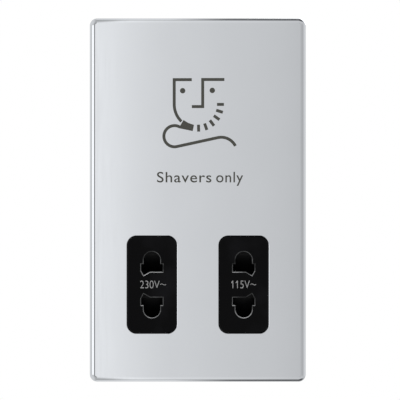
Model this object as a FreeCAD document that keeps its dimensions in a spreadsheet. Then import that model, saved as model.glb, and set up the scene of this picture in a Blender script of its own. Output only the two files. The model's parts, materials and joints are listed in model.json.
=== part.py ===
"""Dual-voltage shaver socket: metal front plate, two shuttered outlets and an isolating transformer.

Millimetres. X runs to the right, Y back into the wall and Z up. The wall is the plane y = 0 and the
origin lies midway between the two fixing holes, so the front of the plate looks towards -Y.
"""
import FreeCAD
import Part
import Sketcher
import math
import os
import re

Vector = FreeCAD.Vector

SIZES = {
    # Front plate, a pressed sheet that clips over everything else
    "plate_width": 88,
    "plate_height": 148,
    "plate_corner": 4,
    "plate_depth": 4.5,
    "plate_sheet": 1,
    "plate_roll": 1.8,
    "window_gap": 0.15,
    "window_break": 0.2,
    # Outlet faces that show through the plate's windows
    "face_width": 20.1,
    "face_height": 39.6,
    "face_corner": 3.8,
    "face_proud": 0.5,
    "face_roll": 0.5,
    # Pin apertures, an arch for round pins over a slot for flat and slanted blades
    "arch_radius": 3.4,
    "arch_rise": 10,
    "slot_step": 8.35,
    "slot_width": 8.85,
    "slot_inner": 5.2,
    "blade_tip_across": 3.35,
    "blade_tip_inner": 3.75,
    "blade_angle": 30,
    "aperture_bevel": 0.3,
    # Outlet moulding behind the faces
    "flange_thickness": 2,
    "flange_lip": 1.2,
    "flange_corner": 2,
    "guide_wall": 1.2,
    "insert_gap": 0.15,
    # Sliding shutters
    "shutter_width": 12,
    "shutter_thickness": 6.1,
    "shutter_reach": 14,
    "shutter_window": 7,
    "shutter_stroke": 8.4,
    "shutter_edge": 0.8,
    "ramp_run": 8.5,
    "rail_width": 1.1,
    "slide_gap": 0.2,
    "spring_room": 2,
    "spring_sheet": 0.4,
    "spring_width": 4.6,
    # Contact carrier and contacts
    "carrier_plate": 2,
    "chamber_gap": 0.4,
    "chamber_wall": 1.2,
    "contact_sheet": 0.4,
    "contact_width": 6,
    "contact_bulge": 1.8,
    "contact_tail": 3.6,
    "contact_fit": 0.05,
    "contact_room": 3.2,
    "peg_spacing": 20,
    "peg_size": 2.4,
    "peg_head": 0.8,
    "peg_play": 0.1,
    # Mounting frame under the plate
    "frame_gap": 0.3,
    "clip_play": 0.05,
    "clip_length": 8,
    "clip_thickness": 1,
    "clip_spread": 50,
    "fixing_spacing": 120.6,
    "fixing_hole": 4.2,
    "fixing_head": 7.4,
    # Bosses and bores for the housing's self-tapping screws
    "boss_size": 5.2,
    "boss_height": 5,
    "boss_floor": 1.2,
    "boss_gap": 0.2,
    "boss_room": 0.55,
    "screw_head": 3.8,
    "screw_shank": 2.2,
    "screw_play": 0.1,
    "screw_grip": 4,
    # Rear housing, deep behind the transformer and stepped behind the outlets
    "housing_width": 68,
    "housing_height": 109,
    "housing_depth": 41,
    "housing_wall": 2,
    "housing_corner": 3,
    "housing_edge": 1.2,
    "step_depth": 27,
    "step_room": 1.7,
    "end_room": 2.7,
    "vent_height": 2,
    "vent_length": 12,
    "vent_pitch": 5,
    "vent_rows": 7,
    # Transformer with an E and I core, coil axis across
    "lamination_unit": 8,
    "bobbin_wall": 0.9,
    "bobbin_gap": 0.15,
    "bobbin_flange": 1,
    "winding_room": 0.8,
    "coil_room": 1.8,
    "winding_gap": 0.05,
    "winding_corner": 4,
    "clamp_sheet": 0.8,
    "clamp_tab": 5,
    "clamp_inset": 1,
    "post_size": 6,
    "cutout_width": 6,
    "cutout_length": 15,
    "cutout_thickness": 2.4,
    "cutout_room": 0.4,
    # Supply terminals behind the step
    "terminal_pitch": 13,
    "terminal_drop": 30,
    "terminal_width": 7,
    "terminal_height": 8.5,
    "terminal_gap": 0.1,
    "block_length": 48,
    "block_height": 14,
    "block_depth": 13,
    "block_wall": 2,
    "block_edge": 0.8,
    "barrier_slot": 1.6,
    "barrier_depth": 3,
    "block_peg_spacing": 42,
    "wire_hole": 4,
    "clamp_screw_head": 5.6,
    "clamp_screw": 3,
    "tag_width": 4,
    "tag_sheet": 0.8,
    "tag_reach": 4,
    # Earth spring between the frame and the plate
    "earth_across": 25,
    "earth_rise": 20,
    "earth_length": 14,
    "earth_width": 4,
    "earth_sheet": 0.4,
    "earth_recess": 1.2,
    "earth_tail": 5,
    # Inner leads: shares of a winding's length where they leave it, and their levels under the core
    "lead_diameter": 1.6,
    "lead_bend": 3.2,
    "lead_room": 3.2,
    "tap_neutral": 0.33,
    "tap_common": 0.25,
    "tap_left": 0.85,
    "tap_right": 0.55,
    "drop_high": 1.6,
    "drop_neutral": 3.2,
    "drop_live": 4,
    "drop_low": 4.8,
    "drop_lowest": 7.7,
}

# Lengths that follow from the sizes above
DERIVED = {
    "plate_inside": "plate_depth - plate_sheet",
    "outlet_x": "screw_x - boss_size / 2 - boss_room - guide_half",
    "outlet_drop": "inner_z - end_room - guide_low",
    "face_front": "plate_depth + face_proud",
    "flange_back": "plate_inside - flange_thickness",
    "flange_half": "outlet_x + face_width / 2 + flange_lip",
    "flange_low": "face_height / 2 + flange_lip",
    "flange_high": "guide_high + flange_lip",
    "channel_half": "shutter_width / 2 + slide_gap",
    "channel_low": "shutter_reach + slide_gap",
    "channel_high": "shutter_reach + shutter_stroke + spring_room",
    "guide_half": "channel_half + guide_wall",
    "guide_low": "channel_low + guide_wall",
    "guide_high": "channel_high + guide_wall",
    "guide_back": "shutter_back + slide_gap",
    "shutter_front": "slide_gap - flange_back",
    "shutter_back": "shutter_front + shutter_thickness",
    "slot_half": "slot_width / 2",
    "arch_top": "arch_rise + arch_radius",
    "chamber_half": "slot_half + chamber_gap",
    "chamber_low": "blade_tip_inner - chamber_gap",
    "chamber_high": "arch_top + chamber_gap",
    "chamber_back": "carrier_back - chamber_wall",
    "carrier_back": "leaf_end - contact_tail",
    "leaf_low": "chamber_low + chamber_gap",
    "leaf_high": "leaf_low + contact_sheet",
    "leaf_end": "inner_step - contact_room",
    "frame_half_x": "plate_width / 2 - plate_sheet - frame_gap",
    "frame_half_z": "plate_height / 2 - plate_sheet - frame_gap",
    "clip_reach": "frame_gap - clip_play",
    "screw_x": "inner_x - boss_gap - boss_size / 2",
    "screw_z": "inner_z - boss_gap - boss_size / 2",
    "screw_seat": "boss_height + screw_grip",
    "pilot_radius": "screw_shank / 2 + screw_play",
    "head_bore": "screw_head / 2 + screw_play",
    "inner_x": "housing_width / 2 - housing_wall",
    "inner_z": "housing_height / 2 - housing_wall",
    "inner_step": "step_depth - housing_wall",
    "inner_depth": "housing_depth - housing_wall",
    "step_drop": "drop_lowest + lead_diameter / 2 + step_room + housing_wall - core_foot",
    "core_half_x": "2.5 * lamination_unit",
    "core_half_z": "3 * lamination_unit",
    "core_rise": "inner_z - end_room - clamp_sheet - core_half_z",
    "core_back": "inner_depth - coil_room - winding_y",
    "stack_depth": "2 * (winding_y - winding_build - bobbin_wall - bobbin_gap)",
    "core_front": "core_back - stack_depth / 2",
    "core_rear": "core_back + stack_depth / 2",
    "post_x": "2 * lamination_unit",
    "post_z": "2.5 * lamination_unit",
    "tube_y": "stack_depth / 2 + bobbin_gap + bobbin_wall",
    "tube_z": "lamination_unit + bobbin_gap + bobbin_wall",
    "winding_z": "2 * lamination_unit - winding_room",
    "winding_build": "winding_z - tube_z",
    "winding_y": "(inner_depth - coil_room - cutout_thickness - cutout_room) / 2",
    "bobbin_half": "1.5 * lamination_unit - bobbin_gap",
    "block_back": "step_depth + block_depth",
    "cell_back": "block_back - block_wall",
    "tag_front": "inner_step - tag_reach",
    "tag_rise": "terminal_height / 2 - tag_sheet",
    "earth_floor": "plate_inside - earth_recess",
    "core_foot": "core_rise - core_half_z - clamp_sheet",
    "tap_back": "core_rear + lead_room",
    "tap_level": "core_rise - winding_z",
    "tap_span": "bobbin_half - bobbin_flange",
}

FRONT = "XZ_Plane"
SIDE = "YZ_Plane"
TOP = "XY_Plane"
TOLERANCE = 1e-4
LEAD_SIDES = 6
BEND_FLATS = 3
MITRED = 1

doc = FreeCAD.newDocument("shaver_socket")
sheet = doc.addObject("Spreadsheet::Sheet", "sizes")
for row, (name, size) in enumerate(SIZES.items(), start=1):
    sheet.set(f"A{row}", name)
    sheet.set(f"B{row}", str(size))
    sheet.setAlias(f"B{row}", name)
doc.recompute()

nodes = []


def expression(text):
    """Write a formula of named sizes as an expression on the sheet's cells."""

    def cell(match):
        word = match.group(0)
        if word in DERIVED:
            return "(" + expression(DERIVED[word]) + ")"
        return "sizes." + word if word in SIZES else word

    return re.sub(r"[a-z][a-z_]*", cell, str(text))


def amount(text):
    """The present value of a formula of named sizes."""
    return float(sheet.evalExpression(expression(text)))


def rectangle(left, right, low, high):
    return [(left, low), (right, low), (right, high), (left, high)]


def centred(half_across, half_up):
    return rectangle(f"-({half_across})", half_across, f"-({half_up})", half_up)


def around(across, up, half_across, half_up):
    """A rectangle about a point."""
    return rectangle(
        f"{across} - ({half_across})", f"{across} + ({half_across})",
        f"{up} - ({half_up})", f"{up} + ({half_up})")


def square(across, up, size):
    return around(across, up, f"({size}) / 2", f"({size}) / 2")


def circle(across, up, radius):
    return {"across": across, "up": up, "radius": radius}


def four_corners(across, up):
    return [(f"{a} * ({across})", f"{b} * ({up})") for a in (-1, 1) for b in (-1, 1)]


def runs(axis, **places):
    """Test for straight edges along an axis, at the given distances either side of the origin."""

    def test(edge):
        box = edge.BoundBox
        for other in "XYZ".replace(axis, ""):
            low, high = getattr(box, other + "Min"), getattr(box, other + "Max")
            if high - low > TOLERANCE:
                return False
            if other in places:
                wanted = [amount(text) for text in places[other]]
                if min(abs(abs(low) - abs(place)) for place in wanted) > TOLERANCE:
                    return False
        return True

    return test


def lies(axis, place):
    """Test for edges that lie wholly in the plane across an axis at a place."""

    def test(edge):
        box = edge.BoundBox
        level = amount(place)
        return (abs(getattr(box, axis + "Min") - level) < TOLERANCE
                and abs(getattr(box, axis + "Max") - level) < TOLERANCE)

    return test


class Piece:
    """A body built of pads and pockets, each from a start to an end along one axis."""

    def __init__(self, label, across=0, back=0, up=0):
        self.body = doc.addObject("PartDesign::Body", label)
        self.body.Label = label
        for axis, place in zip("xyz", (across, back, up)):
            self.body.setExpression(f"Placement.Base.{axis}", expression(place))
        nodes.append(self.body)

    def sketch(self, plane, level, rings):
        """A fully constrained sketch on one of the body's own planes, moved to a level."""
        sketch = self.body.newObject("Sketcher::SketchObject", "outline")
        support = [o for o in self.body.Origin.OriginFeatures if o.Role == plane][0]
        sketch.AttachmentSupport = [(support, "")]
        sketch.MapMode = "FlatFace"
        offset = f"-({level})" if plane == FRONT else level
        sketch.setExpression("AttachmentOffset.Base.z", expression(offset))
        for ring in rings:
            if isinstance(ring, dict):
                self.draw_circle(sketch, ring)
            else:
                self.draw_outline(sketch, ring)
        return sketch

    @staticmethod
    def bind(sketch, kind, elements, text):
        number = sketch.addConstraint(Sketcher.Constraint(kind, *elements, amount(text)))
        sketch.setExpression(f"Constraints[{number}]", expression(text))

    def draw_circle(self, sketch, ring):
        centre = Vector(amount(ring["across"]), amount(ring["up"]), 0)
        curve = Part.Circle(centre, Vector(0, 0, 1), amount(ring["radius"]))
        number = sketch.addGeometry(curve)
        self.bind(sketch, "DistanceX", (-1, 1, number, 3), ring["across"])
        self.bind(sketch, "DistanceY", (-1, 1, number, 3), ring["up"])
        self.bind(sketch, "Radius", (number,), ring["radius"])

    def draw_outline(self, sketch, ring):
        """Draw corners joined by lines; a corner's third item is the level of a half circle's centre."""
        corners = [Vector(amount(corner[0]), amount(corner[1]), 0) for corner in ring]
        first = sketch.GeometryCount
        ends = []
        for here, there, corner in zip(corners, corners[1:] + corners[:1], ring):
            if len(corner) == 2:
                sketch.addGeometry(Part.LineSegment(here, there))
                ends.append((1, 2))
                continue
            middle = (here + there) * 0.5
            reach = here - middle
            above = Vector(0, 1 if amount(corner[2]) > 0 else -1, 0) * reach.Length
            arc = Part.Arc(here, middle + above, there)
            number = sketch.addGeometry(arc)
            turned = sketch.getPoint(number, 1).distanceToPoint(here) > TOLERANCE
            ends.append((2, 1) if turned else (1, 2))
            self.bind(sketch, "DistanceY", (-1, 1, number, 3), corner[2])
        count = len(ring)
        for place, corner in enumerate(ring):
            number = first + place
            following = (place + 1) % count
            joint = (number, ends[place][1], first + following, ends[following][0])
            sketch.addConstraint(Sketcher.Constraint("Coincident", *joint))
            self.bind(sketch, "DistanceX", (-1, 1, number, ends[place][0]), corner[0])
            self.bind(sketch, "DistanceY", (-1, 1, number, ends[place][0]), corner[1])

    def feature(self, kind, plane, start, end, rings):
        sketch = self.sketch(plane, start, rings)
        feature = self.body.newObject(f"PartDesign::{kind}", kind.lower())
        feature.Profile = sketch
        feature.setExpression("Length", expression(f"({end}) - ({start})"))
        feature.Reversed = (kind == "Pad") == (plane == FRONT)
        doc.recompute()
        return feature

    def add(self, plane, start, end, *rings):
        return self.feature("Pad", plane, start, end, rings)

    def cut(self, plane, start, end, *rings):
        before = self.body.Shape.Volume
        feature = self.feature("Pocket", plane, start, end, rings)
        if self.body.Shape.Volume > before - TOLERANCE:
            raise RuntimeError(f"{self.body.Label}: a pocket cuts nothing")
        return feature

    def dress(self, kind, quantity, size, *tests):
        base = self.body.Tip
        edges = [f"Edge{number}" for number, edge in enumerate(base.Shape.Edges, start=1)
                 if all(test(edge) for test in tests)]
        feature = self.body.newObject(f"PartDesign::{kind}", kind.lower())
        feature.Base = (base, edges)
        feature.setExpression(quantity, expression(size))
        doc.recompute()

    def round(self, radius, *tests):
        self.dress("Fillet", "Radius", radius, *tests)

    def bevel(self, size, *tests):
        self.dress("Chamfer", "Size", size, *tests)

    def repeat_up(self, feature, pitch, count):
        """Repeat a feature upwards, so many times and so far apart."""
        pattern = self.body.newObject("PartDesign::LinearPattern", "rows")
        pattern.Originals = [feature]
        axis = [o for o in self.body.Origin.OriginFeatures if o.Role == "Z_Axis"][0]
        pattern.Direction = (axis, [""])
        pattern.setExpression("Length", expression(f"({pitch}) * ({count} - 1)"))
        pattern.setExpression("Occurrences", expression(count))
        self.body.Tip = pattern
        doc.recompute()


def make_front_plate():
    """Pressed sheet with a rolled edge and a window for each outlet face."""
    plate = Piece("front_plate")
    outside = ("plate_width / 2", "plate_height / 2")
    hollow = ("plate_width / 2 - plate_sheet", "plate_height / 2 - plate_sheet")
    plate.add(FRONT, "-plate_depth", "0", centred(*outside))
    plate.cut(FRONT, "-plate_inside", "0", centred(*hollow))
    plate.round("plate_corner", runs("Y", X=outside[:1], Z=outside[1:]))
    plate.round("plate_corner - plate_sheet", runs("Y", X=hollow[:1], Z=hollow[1:]))
    plate.round("plate_roll", lies("Y", "-plate_depth"))
    plate.bevel("plate_roll - plate_sheet", lies("Y", "-plate_inside"))
    half_across = "face_width / 2 + window_gap"
    half_up = "face_height / 2 + window_gap"
    windows = [around(f"{side} * outlet_x", "-outlet_drop", half_across, half_up) for side in (-1, 1)]
    plate.cut(FRONT, "-plate_depth", "-plate_inside", *windows)
    sides = (f"outlet_x - ({half_across})", f"outlet_x + ({half_across})")
    ends = (f"outlet_drop - ({half_up})", f"outlet_drop + ({half_up})")
    plate.round("face_corner + window_gap", runs("Y", X=sides, Z=ends))
    reach = amount(sides[1])
    plate.bevel("window_break", lies("Y", "-plate_depth"),
                lambda edge: edge.BoundBox.XMax < reach + TOLERANCE
                and edge.BoundBox.XMin > -reach - TOLERANCE
                and edge.BoundBox.ZMax < amount(f"({half_up}) - outlet_drop") + TOLERANCE
                and edge.BoundBox.ZMin > amount(f"-({half_up}) - outlet_drop") - TOLERANCE)


def make_mounting_frame():
    """Insulating frame that the wall screws hold; it carries the plate, the outlets and the housing."""
    frame = Piece("mounting_frame")
    frame.add(FRONT, "-plate_inside", "0", centred("frame_half_x", "frame_half_z"))
    frame.round("plate_corner - plate_sheet - frame_gap", runs("Y"))
    frame.bevel("plate_roll - plate_sheet", lies("Y", "-plate_inside"))
    nibs = []
    for side in (-1, 1):
        for end in (-1, 1):
            spot = f"{end} * clip_spread"
            nibs.append(around(f"{side} * (frame_half_x)", spot, "clip_reach", "clip_length / 2"))
        nibs.append(around("0", f"{side} * (frame_half_z)", "clip_length / 2", "clip_reach"))
    frame.add(FRONT, "-(plate_inside + clip_thickness) / 2", "(clip_thickness - plate_inside) / 2", *nibs)
    frame.cut(FRONT, "-plate_inside", "-flange_back", rectangle(
        "-(flange_half + insert_gap)", "flange_half + insert_gap",
        "-outlet_drop - flange_low - insert_gap", "flange_high - outlet_drop + insert_gap"))
    opening = "outlet_x + guide_half + insert_gap"
    frame.cut(FRONT, "-flange_back", "0", rectangle(
        f"-({opening})", opening,
        "-outlet_drop - guide_low - insert_gap", "guide_high - outlet_drop + insert_gap"))
    fixings = [circle("0", f"{side} * fixing_spacing / 2", "fixing_hole / 2") for side in (-1, 1)]
    frame.cut(FRONT, "-plate_inside", "0", *fixings)
    hole = amount("fixing_hole / 2")
    frame.bevel("(fixing_head - fixing_hole) / 2", lies("Y", "-plate_inside"),
                lambda edge: isinstance(edge.Curve, Part.Circle)
                and abs(edge.Curve.Radius - hole) < TOLERANCE
                and abs(edge.Curve.Center.x) < TOLERANCE)
    corners = four_corners("screw_x", "screw_z")
    frame.add(FRONT, "0", "boss_height", *[square(*spot, "boss_size") for spot in corners])
    frame.cut(FRONT, "boss_floor - flange_back", "boss_height",
              *[circle(*spot, "pilot_radius") for spot in corners])
    posts = [(x, f"core_rise + {z}") for x, z in four_corners("post_x", "post_z")]
    frame.add(FRONT, "0", "core_front", *[square(*spot, "post_size") for spot in posts])
    half_slot = "earth_width / 2 + insert_gap"
    frame.cut(FRONT, "-plate_inside", "-earth_floor",
              around("-earth_across", "earth_rise", half_slot, "earth_length / 2 + insert_gap"))
    frame.cut(FRONT, "-earth_floor", "0", rectangle(
        f"-earth_across - ({half_slot})", f"-earth_across + ({half_slot})",
        "earth_rise - earth_length / 2 - insert_gap",
        "earth_rise - earth_length / 2 + earth_sheet + insert_gap"))


def aperture(side, end):
    """One pin aperture of the outlet on a side, above (1) or below (-1) its centre.

    The tip lies on the outer side, where a slanted blade turned by the blade angle has its corner.
    """
    rise_across = "(slot_inner - blade_tip_inner) / tan(blade_angle)"
    rise_outer = "(slot_half - blade_tip_across) / tan(blade_angle)"
    corners = [
        ("-slot_half", "slot_step"),
        ("-slot_half", "slot_inner"),
        (f"blade_tip_across - {rise_across}", "slot_inner"),
        ("blade_tip_across", "blade_tip_inner"),
        ("slot_half", f"blade_tip_inner + {rise_outer}"),
        ("slot_half", "slot_step"),
        ("arch_radius", "slot_step"),
        ("arch_radius", "arch_rise", "arch_rise"),
        ("-arch_radius", "arch_rise"),
        ("-arch_radius", "slot_step"),
    ]
    placed = []
    for corner in corners:
        across = f"{side} * (outlet_x + {corner[0]})"
        placed.append((across,) + tuple(f"{end} * ({level})" for level in corner[1:]))
    return placed


def make_socket_insert():
    """Outlet moulding: two raised faces with pin apertures and a guide for each shutter behind."""
    insert = Piece("socket_insert", up="-outlet_drop")
    insert.add(FRONT, "-plate_inside", "-flange_back",
               rectangle("-(flange_half)", "flange_half", "-(flange_low)", "flange_high"))
    insert.round("flange_corner", runs("Y"))
    faces = [around(f"{side} * outlet_x", "0", "face_width / 2", "face_height / 2") for side in (-1, 1)]
    insert.add(FRONT, "-(face_front)", "-plate_inside", *faces)
    sides = ("outlet_x - face_width / 2", "outlet_x + face_width / 2")
    insert.round("face_corner", runs("Y", X=sides, Z=("face_height / 2",)))
    insert.bevel("face_roll", lies("Y", "-(face_front)"))
    guides = [rectangle(f"{side} * outlet_x - guide_half", f"{side} * outlet_x + guide_half",
                        "-(guide_low)", "guide_high") for side in (-1, 1)]
    insert.add(FRONT, "-flange_back", "guide_back", *guides)
    channels = [rectangle(f"{side} * outlet_x - channel_half", f"{side} * outlet_x + channel_half",
                          "-(channel_low)", "channel_high") for side in (-1, 1)]
    insert.cut(FRONT, "-flange_back", "guide_back", *channels)
    pegs = [("0", f"{end} * peg_spacing / 2") for end in (-1, 1)]
    insert.add(FRONT, "-flange_back", "guide_back", *[square(*spot, "boss_size") for spot in pegs])
    insert.add(FRONT, "guide_back", "guide_back + carrier_plate + peg_head",
               *[square(*spot, "peg_size") for spot in pegs])
    openings = [aperture(side, end) for side in (-1, 1) for end in (-1, 1)]
    insert.cut(FRONT, "-(face_front)", "-flange_back", *openings)
    reach = amount("slot_half") + TOLERANCE
    middle = amount("outlet_x")
    insert.bevel("aperture_bevel", lies("Y", "-(face_front)"),
                 lambda edge: abs(abs(edge.CenterOfMass.x) - middle) < reach
                 and abs(edge.CenterOfMass.z) < amount("arch_top"))


def make_shutter(name, side):
    """A slider whose two ramps close the apertures until both pins push it up."""
    shutter = Piece(f"shutter_{name}", across=f"{side} * outlet_x", up="-outlet_drop")
    half = "shutter_width / 2"
    for edge in (f"-({half})", f"{half} - rail_width"):
        shutter.add(SIDE, edge, f"{edge} + rail_width",
                    rectangle("shutter_front", "shutter_back", "-shutter_reach", "shutter_reach"))
    ramps = []
    for low, high in (("-shutter_reach", "-shutter_window / 2"), ("shutter_window / 2", "shutter_reach")):
        ramps.append([
            ("shutter_back", low),
            ("shutter_back", high),
            ("shutter_front", high),
            ("shutter_front", f"{low} + ramp_run"),
            ("shutter_back - shutter_edge", low),
        ])
    shutter.add(SIDE, f"rail_width - {half}", f"{half} - rail_width", *ramps)


def make_shutter_spring(name, side):
    """Folded leaf between the top of a shutter and the top of its guide."""
    spring = Piece(f"shutter_spring_{name}", across=f"{side} * outlet_x", up="-outlet_drop")
    middle = "(shutter_front + shutter_back) / 2"
    foot, tip = "shutter_reach", "channel_high"
    reach = "shutter_width / 2 - rail_width"
    spring.add(FRONT, f"{middle} - spring_width / 2", f"{middle} + spring_width / 2", [
        (f"-({reach})", foot),
        (reach, foot),
        (f"{reach} + spring_sheet", f"{foot} + spring_sheet"),
        (f"-({reach}) + spring_sheet", tip),
        (f"-({reach})", f"{tip} - spring_sheet"),
        (f"{reach} - 2 * spring_sheet", f"{foot} + spring_sheet"),
        (f"-({reach})", f"{foot} + spring_sheet"),
    ])


def make_contact_carrier():
    """Moulding behind the shutters with a chamber for each contact."""
    carrier = Piece("contact_carrier", up="-outlet_drop")
    plate_back = "guide_back + carrier_plate"
    carrier.add(FRONT, "guide_back", plate_back, rectangle(
        "-(outlet_x + guide_half)", "outlet_x + guide_half", "-(guide_low)", "guide_high"))
    middle = "(chamber_low + chamber_high) / 2"
    half_up = "(chamber_high - chamber_low) / 2"
    spots = four_corners("outlet_x", middle)
    carrier.add(FRONT, plate_back, "carrier_back", *[
        around(*spot, "chamber_half + chamber_wall", f"{half_up} + chamber_wall") for spot in spots])
    carrier.cut(FRONT, "guide_back", "chamber_back",
                *[around(*spot, "chamber_half", half_up) for spot in spots])
    slots = [around(across, up, "contact_width / 2 + contact_fit", "contact_sheet / 2 + contact_fit")
             for across, up in four_corners("outlet_x", "(leaf_low + leaf_high) / 2")]
    carrier.cut(FRONT, "chamber_back", "carrier_back", *slots)
    pegs = [("0", f"{end} * peg_spacing / 2") for end in (-1, 1)]
    carrier.cut(FRONT, "guide_back", plate_back,
                *[square(*spot, "peg_size + 2 * peg_play") for spot in pegs])


def leaf(end):
    """Side outline of a sprung contact that presses outwards on the pin, above or below the centre."""
    bulge = "(guide_back + chamber_back) / 2"
    mouth = "guide_back + carrier_plate"
    root = "chamber_back - chamber_wall"
    upper = [("leaf_end", "leaf_high"), (root, "leaf_high"),
             (bulge, "leaf_high + contact_bulge"), (mouth, "leaf_high")]
    lower = [(back, f"{up} - contact_sheet") for back, up in reversed(upper)]
    return [(back, f"{end} * ({up})") for back, up in upper + lower]


def make_contacts():
    """One contact behind each upper aperture and a shared one behind the two lower apertures."""
    half = "contact_width / 2"
    for name, side in (("230v", -1), ("115v", 1)):
        contact = Piece(f"contact_{name}", across=f"{side} * outlet_x", up="-outlet_drop")
        contact.add(SIDE, f"-({half})", half, leaf(1))
    common = Piece("contact_common", up="-outlet_drop")
    link_start = "carrier_back + contact_tail / 4"
    common.add(FRONT, link_start, "leaf_end", rectangle(
        f"-outlet_x - {half}", f"outlet_x + {half}", "-(leaf_high)", "-(leaf_low)"))
    for side in (-1, 1):
        common.add(SIDE, f"{side} * outlet_x - {half}", f"{side} * outlet_x + {half}", leaf(-1))


def make_core():
    """E and I lamination stacks, seen from the front, with the limbs running across."""
    unit = "lamination_unit"
    outline = [(-2.5, -3), (1.5, -3), (1.5, -2), (-1.5, -2), (-1.5, -1), (1.5, -1),
               (1.5, 1), (-1.5, 1), (-1.5, 2), (1.5, 2), (1.5, 3), (-2.5, 3)]
    stack = Piece("core_e_stack", up="core_rise")
    stack.add(FRONT, "core_front", "core_rear", [(f"{a} * {unit}", f"{b} * {unit}") for a, b in outline])
    bar = Piece("core_i_stack", up="core_rise")
    bar.add(FRONT, "core_front", "core_rear",
            rectangle(f"1.5 * {unit}", "core_half_x", "-(core_half_z)", "core_half_z"))
    clamp = Piece("core_clamp", up="core_rise")
    out_x, out_z = "core_half_x + clamp_sheet", "core_half_z + clamp_sheet"
    clamp.add(FRONT, "core_front + clamp_inset", "core_rear - clamp_inset", [
        (out_x, "core_half_z - clamp_tab"), (out_x, out_z), (f"-({out_x})", out_z),
        (f"-({out_x})", f"-({out_z})"), (out_x, f"-({out_z})"), (out_x, "clamp_tab - core_half_z"),
        ("core_half_x", "clamp_tab - core_half_z"), ("core_half_x", "-(core_half_z)"),
        ("-(core_half_x)", "-(core_half_z)"), ("-(core_half_x)", "core_half_z"),
        ("core_half_x", "core_half_z"), ("core_half_x", "core_half_z - clamp_tab")])


def make_windings():
    """Three-flange bobbin on the centre limb, with the primary on the left and secondary on the right."""
    bobbin = Piece("bobbin", back="core_back", up="core_rise")
    bobbin.add(SIDE, "-(bobbin_half)", "bobbin_half", centred("tube_y", "tube_z"))
    half_flange = "bobbin_flange / 2"
    outer = centred("winding_y + winding_room / 2", "winding_z + winding_room / 2")
    for middle in (f"{half_flange} - bobbin_half", "0", f"bobbin_half - {half_flange}"):
        bobbin.add(SIDE, f"{middle} - {half_flange}", f"{middle} + {half_flange}", outer)
    bobbin.cut(SIDE, "-(bobbin_half)", "bobbin_half",
               centred("stack_depth / 2 + bobbin_gap", "lamination_unit + bobbin_gap"))
    inner_end = f"{half_flange} + winding_gap"
    outer_end = "bobbin_half - bobbin_flange - winding_gap"
    for name, start, end in (("primary_winding", f"-({outer_end})", f"-({inner_end})"),
                             ("secondary_winding", inner_end, outer_end)):
        winding = Piece(name, back="core_back", up="core_rise")
        winding.add(SIDE, start, end, centred("winding_y", "winding_z"))
        winding.round("winding_corner", runs("X"))
        winding.cut(SIDE, start, end, centred("tube_y + winding_gap", "tube_z + winding_gap"))
    cutout = Piece("thermal_cutout", across="-(bobbin_half) / 2", back="core_back - winding_y",
                   up="core_rise")
    cutout.add(FRONT, "-cutout_thickness", "0", centred("cutout_width / 2", "cutout_length / 2"))
    cutout.bevel("cutout_thickness / 3", runs("Z"), lambda edge: edge.BoundBox.YMax < -TOLERANCE)


def make_rear_housing():
    """Stepped rear box with screw columns, core posts and vent slots."""
    housing = Piece("rear_housing")
    half_x, half_z = "housing_width / 2", "housing_height / 2"
    housing.add(FRONT, "0", "step_depth", centred(half_x, half_z))
    housing.add(FRONT, "step_depth", "housing_depth",
                rectangle(f"-({half_x})", half_x, "-step_drop", half_z))
    housing.round("housing_corner", runs("Y", X=(half_x,), Z=(half_z,)))
    housing.round("housing_edge", lies("Y", "housing_depth"))
    ledge = amount("-step_drop") - TOLERANCE
    housing.round("housing_edge", lies("Y", "step_depth"), lambda edge: edge.BoundBox.ZMin < ledge)
    housing.cut(FRONT, "0", "inner_step", centred("inner_x", "inner_z"))
    housing.cut(FRONT, "inner_step", "inner_depth",
                rectangle("-(inner_x)", "inner_x", "housing_wall - step_drop", "inner_z"))
    near_x, far_x = "screw_x - boss_size / 2", "inner_x + housing_wall / 2"
    near_z, far_z = "screw_z - boss_size / 2", "inner_z + housing_wall / 2"
    for end, back in ((1, "inner_depth"), (-1, "inner_step")):
        columns = [rectangle(f"{side} * ({near_x})", f"{side} * ({far_x})",
                             f"{end} * ({near_z})", f"{end} * ({far_z})") for side in (-1, 1)]
        housing.add(FRONT, "boss_height", f"{back} + housing_wall / 2", *columns)
        bores = [(f"{side} * (screw_x)", f"{end} * (screw_z)") for side in (-1, 1)]
        housing.cut(FRONT, "boss_height", "screw_seat", *[circle(*spot, "pilot_radius") for spot in bores])
        housing.cut(FRONT, "screw_seat", f"{back} + housing_wall",
                    *[circle(*spot, "head_bore") for spot in bores])
    posts = [(x, f"core_rise + {z}") for x, z in four_corners("post_x", "post_z")]
    housing.add(FRONT, "core_rear", "inner_depth + housing_wall / 2",
                *[square(*spot, "post_size") for spot in posts])
    tags = [around(f"{step} * terminal_pitch", "tag_rise - terminal_drop + tag_sheet / 2",
                   "tag_width / 2 + terminal_gap", "tag_sheet / 2 + terminal_gap") for step in (-1, 0, 1)]
    housing.cut(FRONT, "inner_step", "step_depth", *tags)
    pegs = [(f"{side} * block_peg_spacing / 2", "-terminal_drop") for side in (-1, 1)]
    housing.cut(FRONT, "inner_step", "step_depth",
                *[square(*spot, "peg_size + 2 * peg_play") for spot in pegs])
    lowest = "core_rise - vent_pitch * (vent_rows - 1) / 2"
    vent = housing.cut(SIDE, "-housing_width", "housing_width",
                       around("core_back", lowest, "vent_length / 2", "vent_height / 2"))
    housing.repeat_up(vent, "vent_pitch", "vent_rows")


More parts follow.
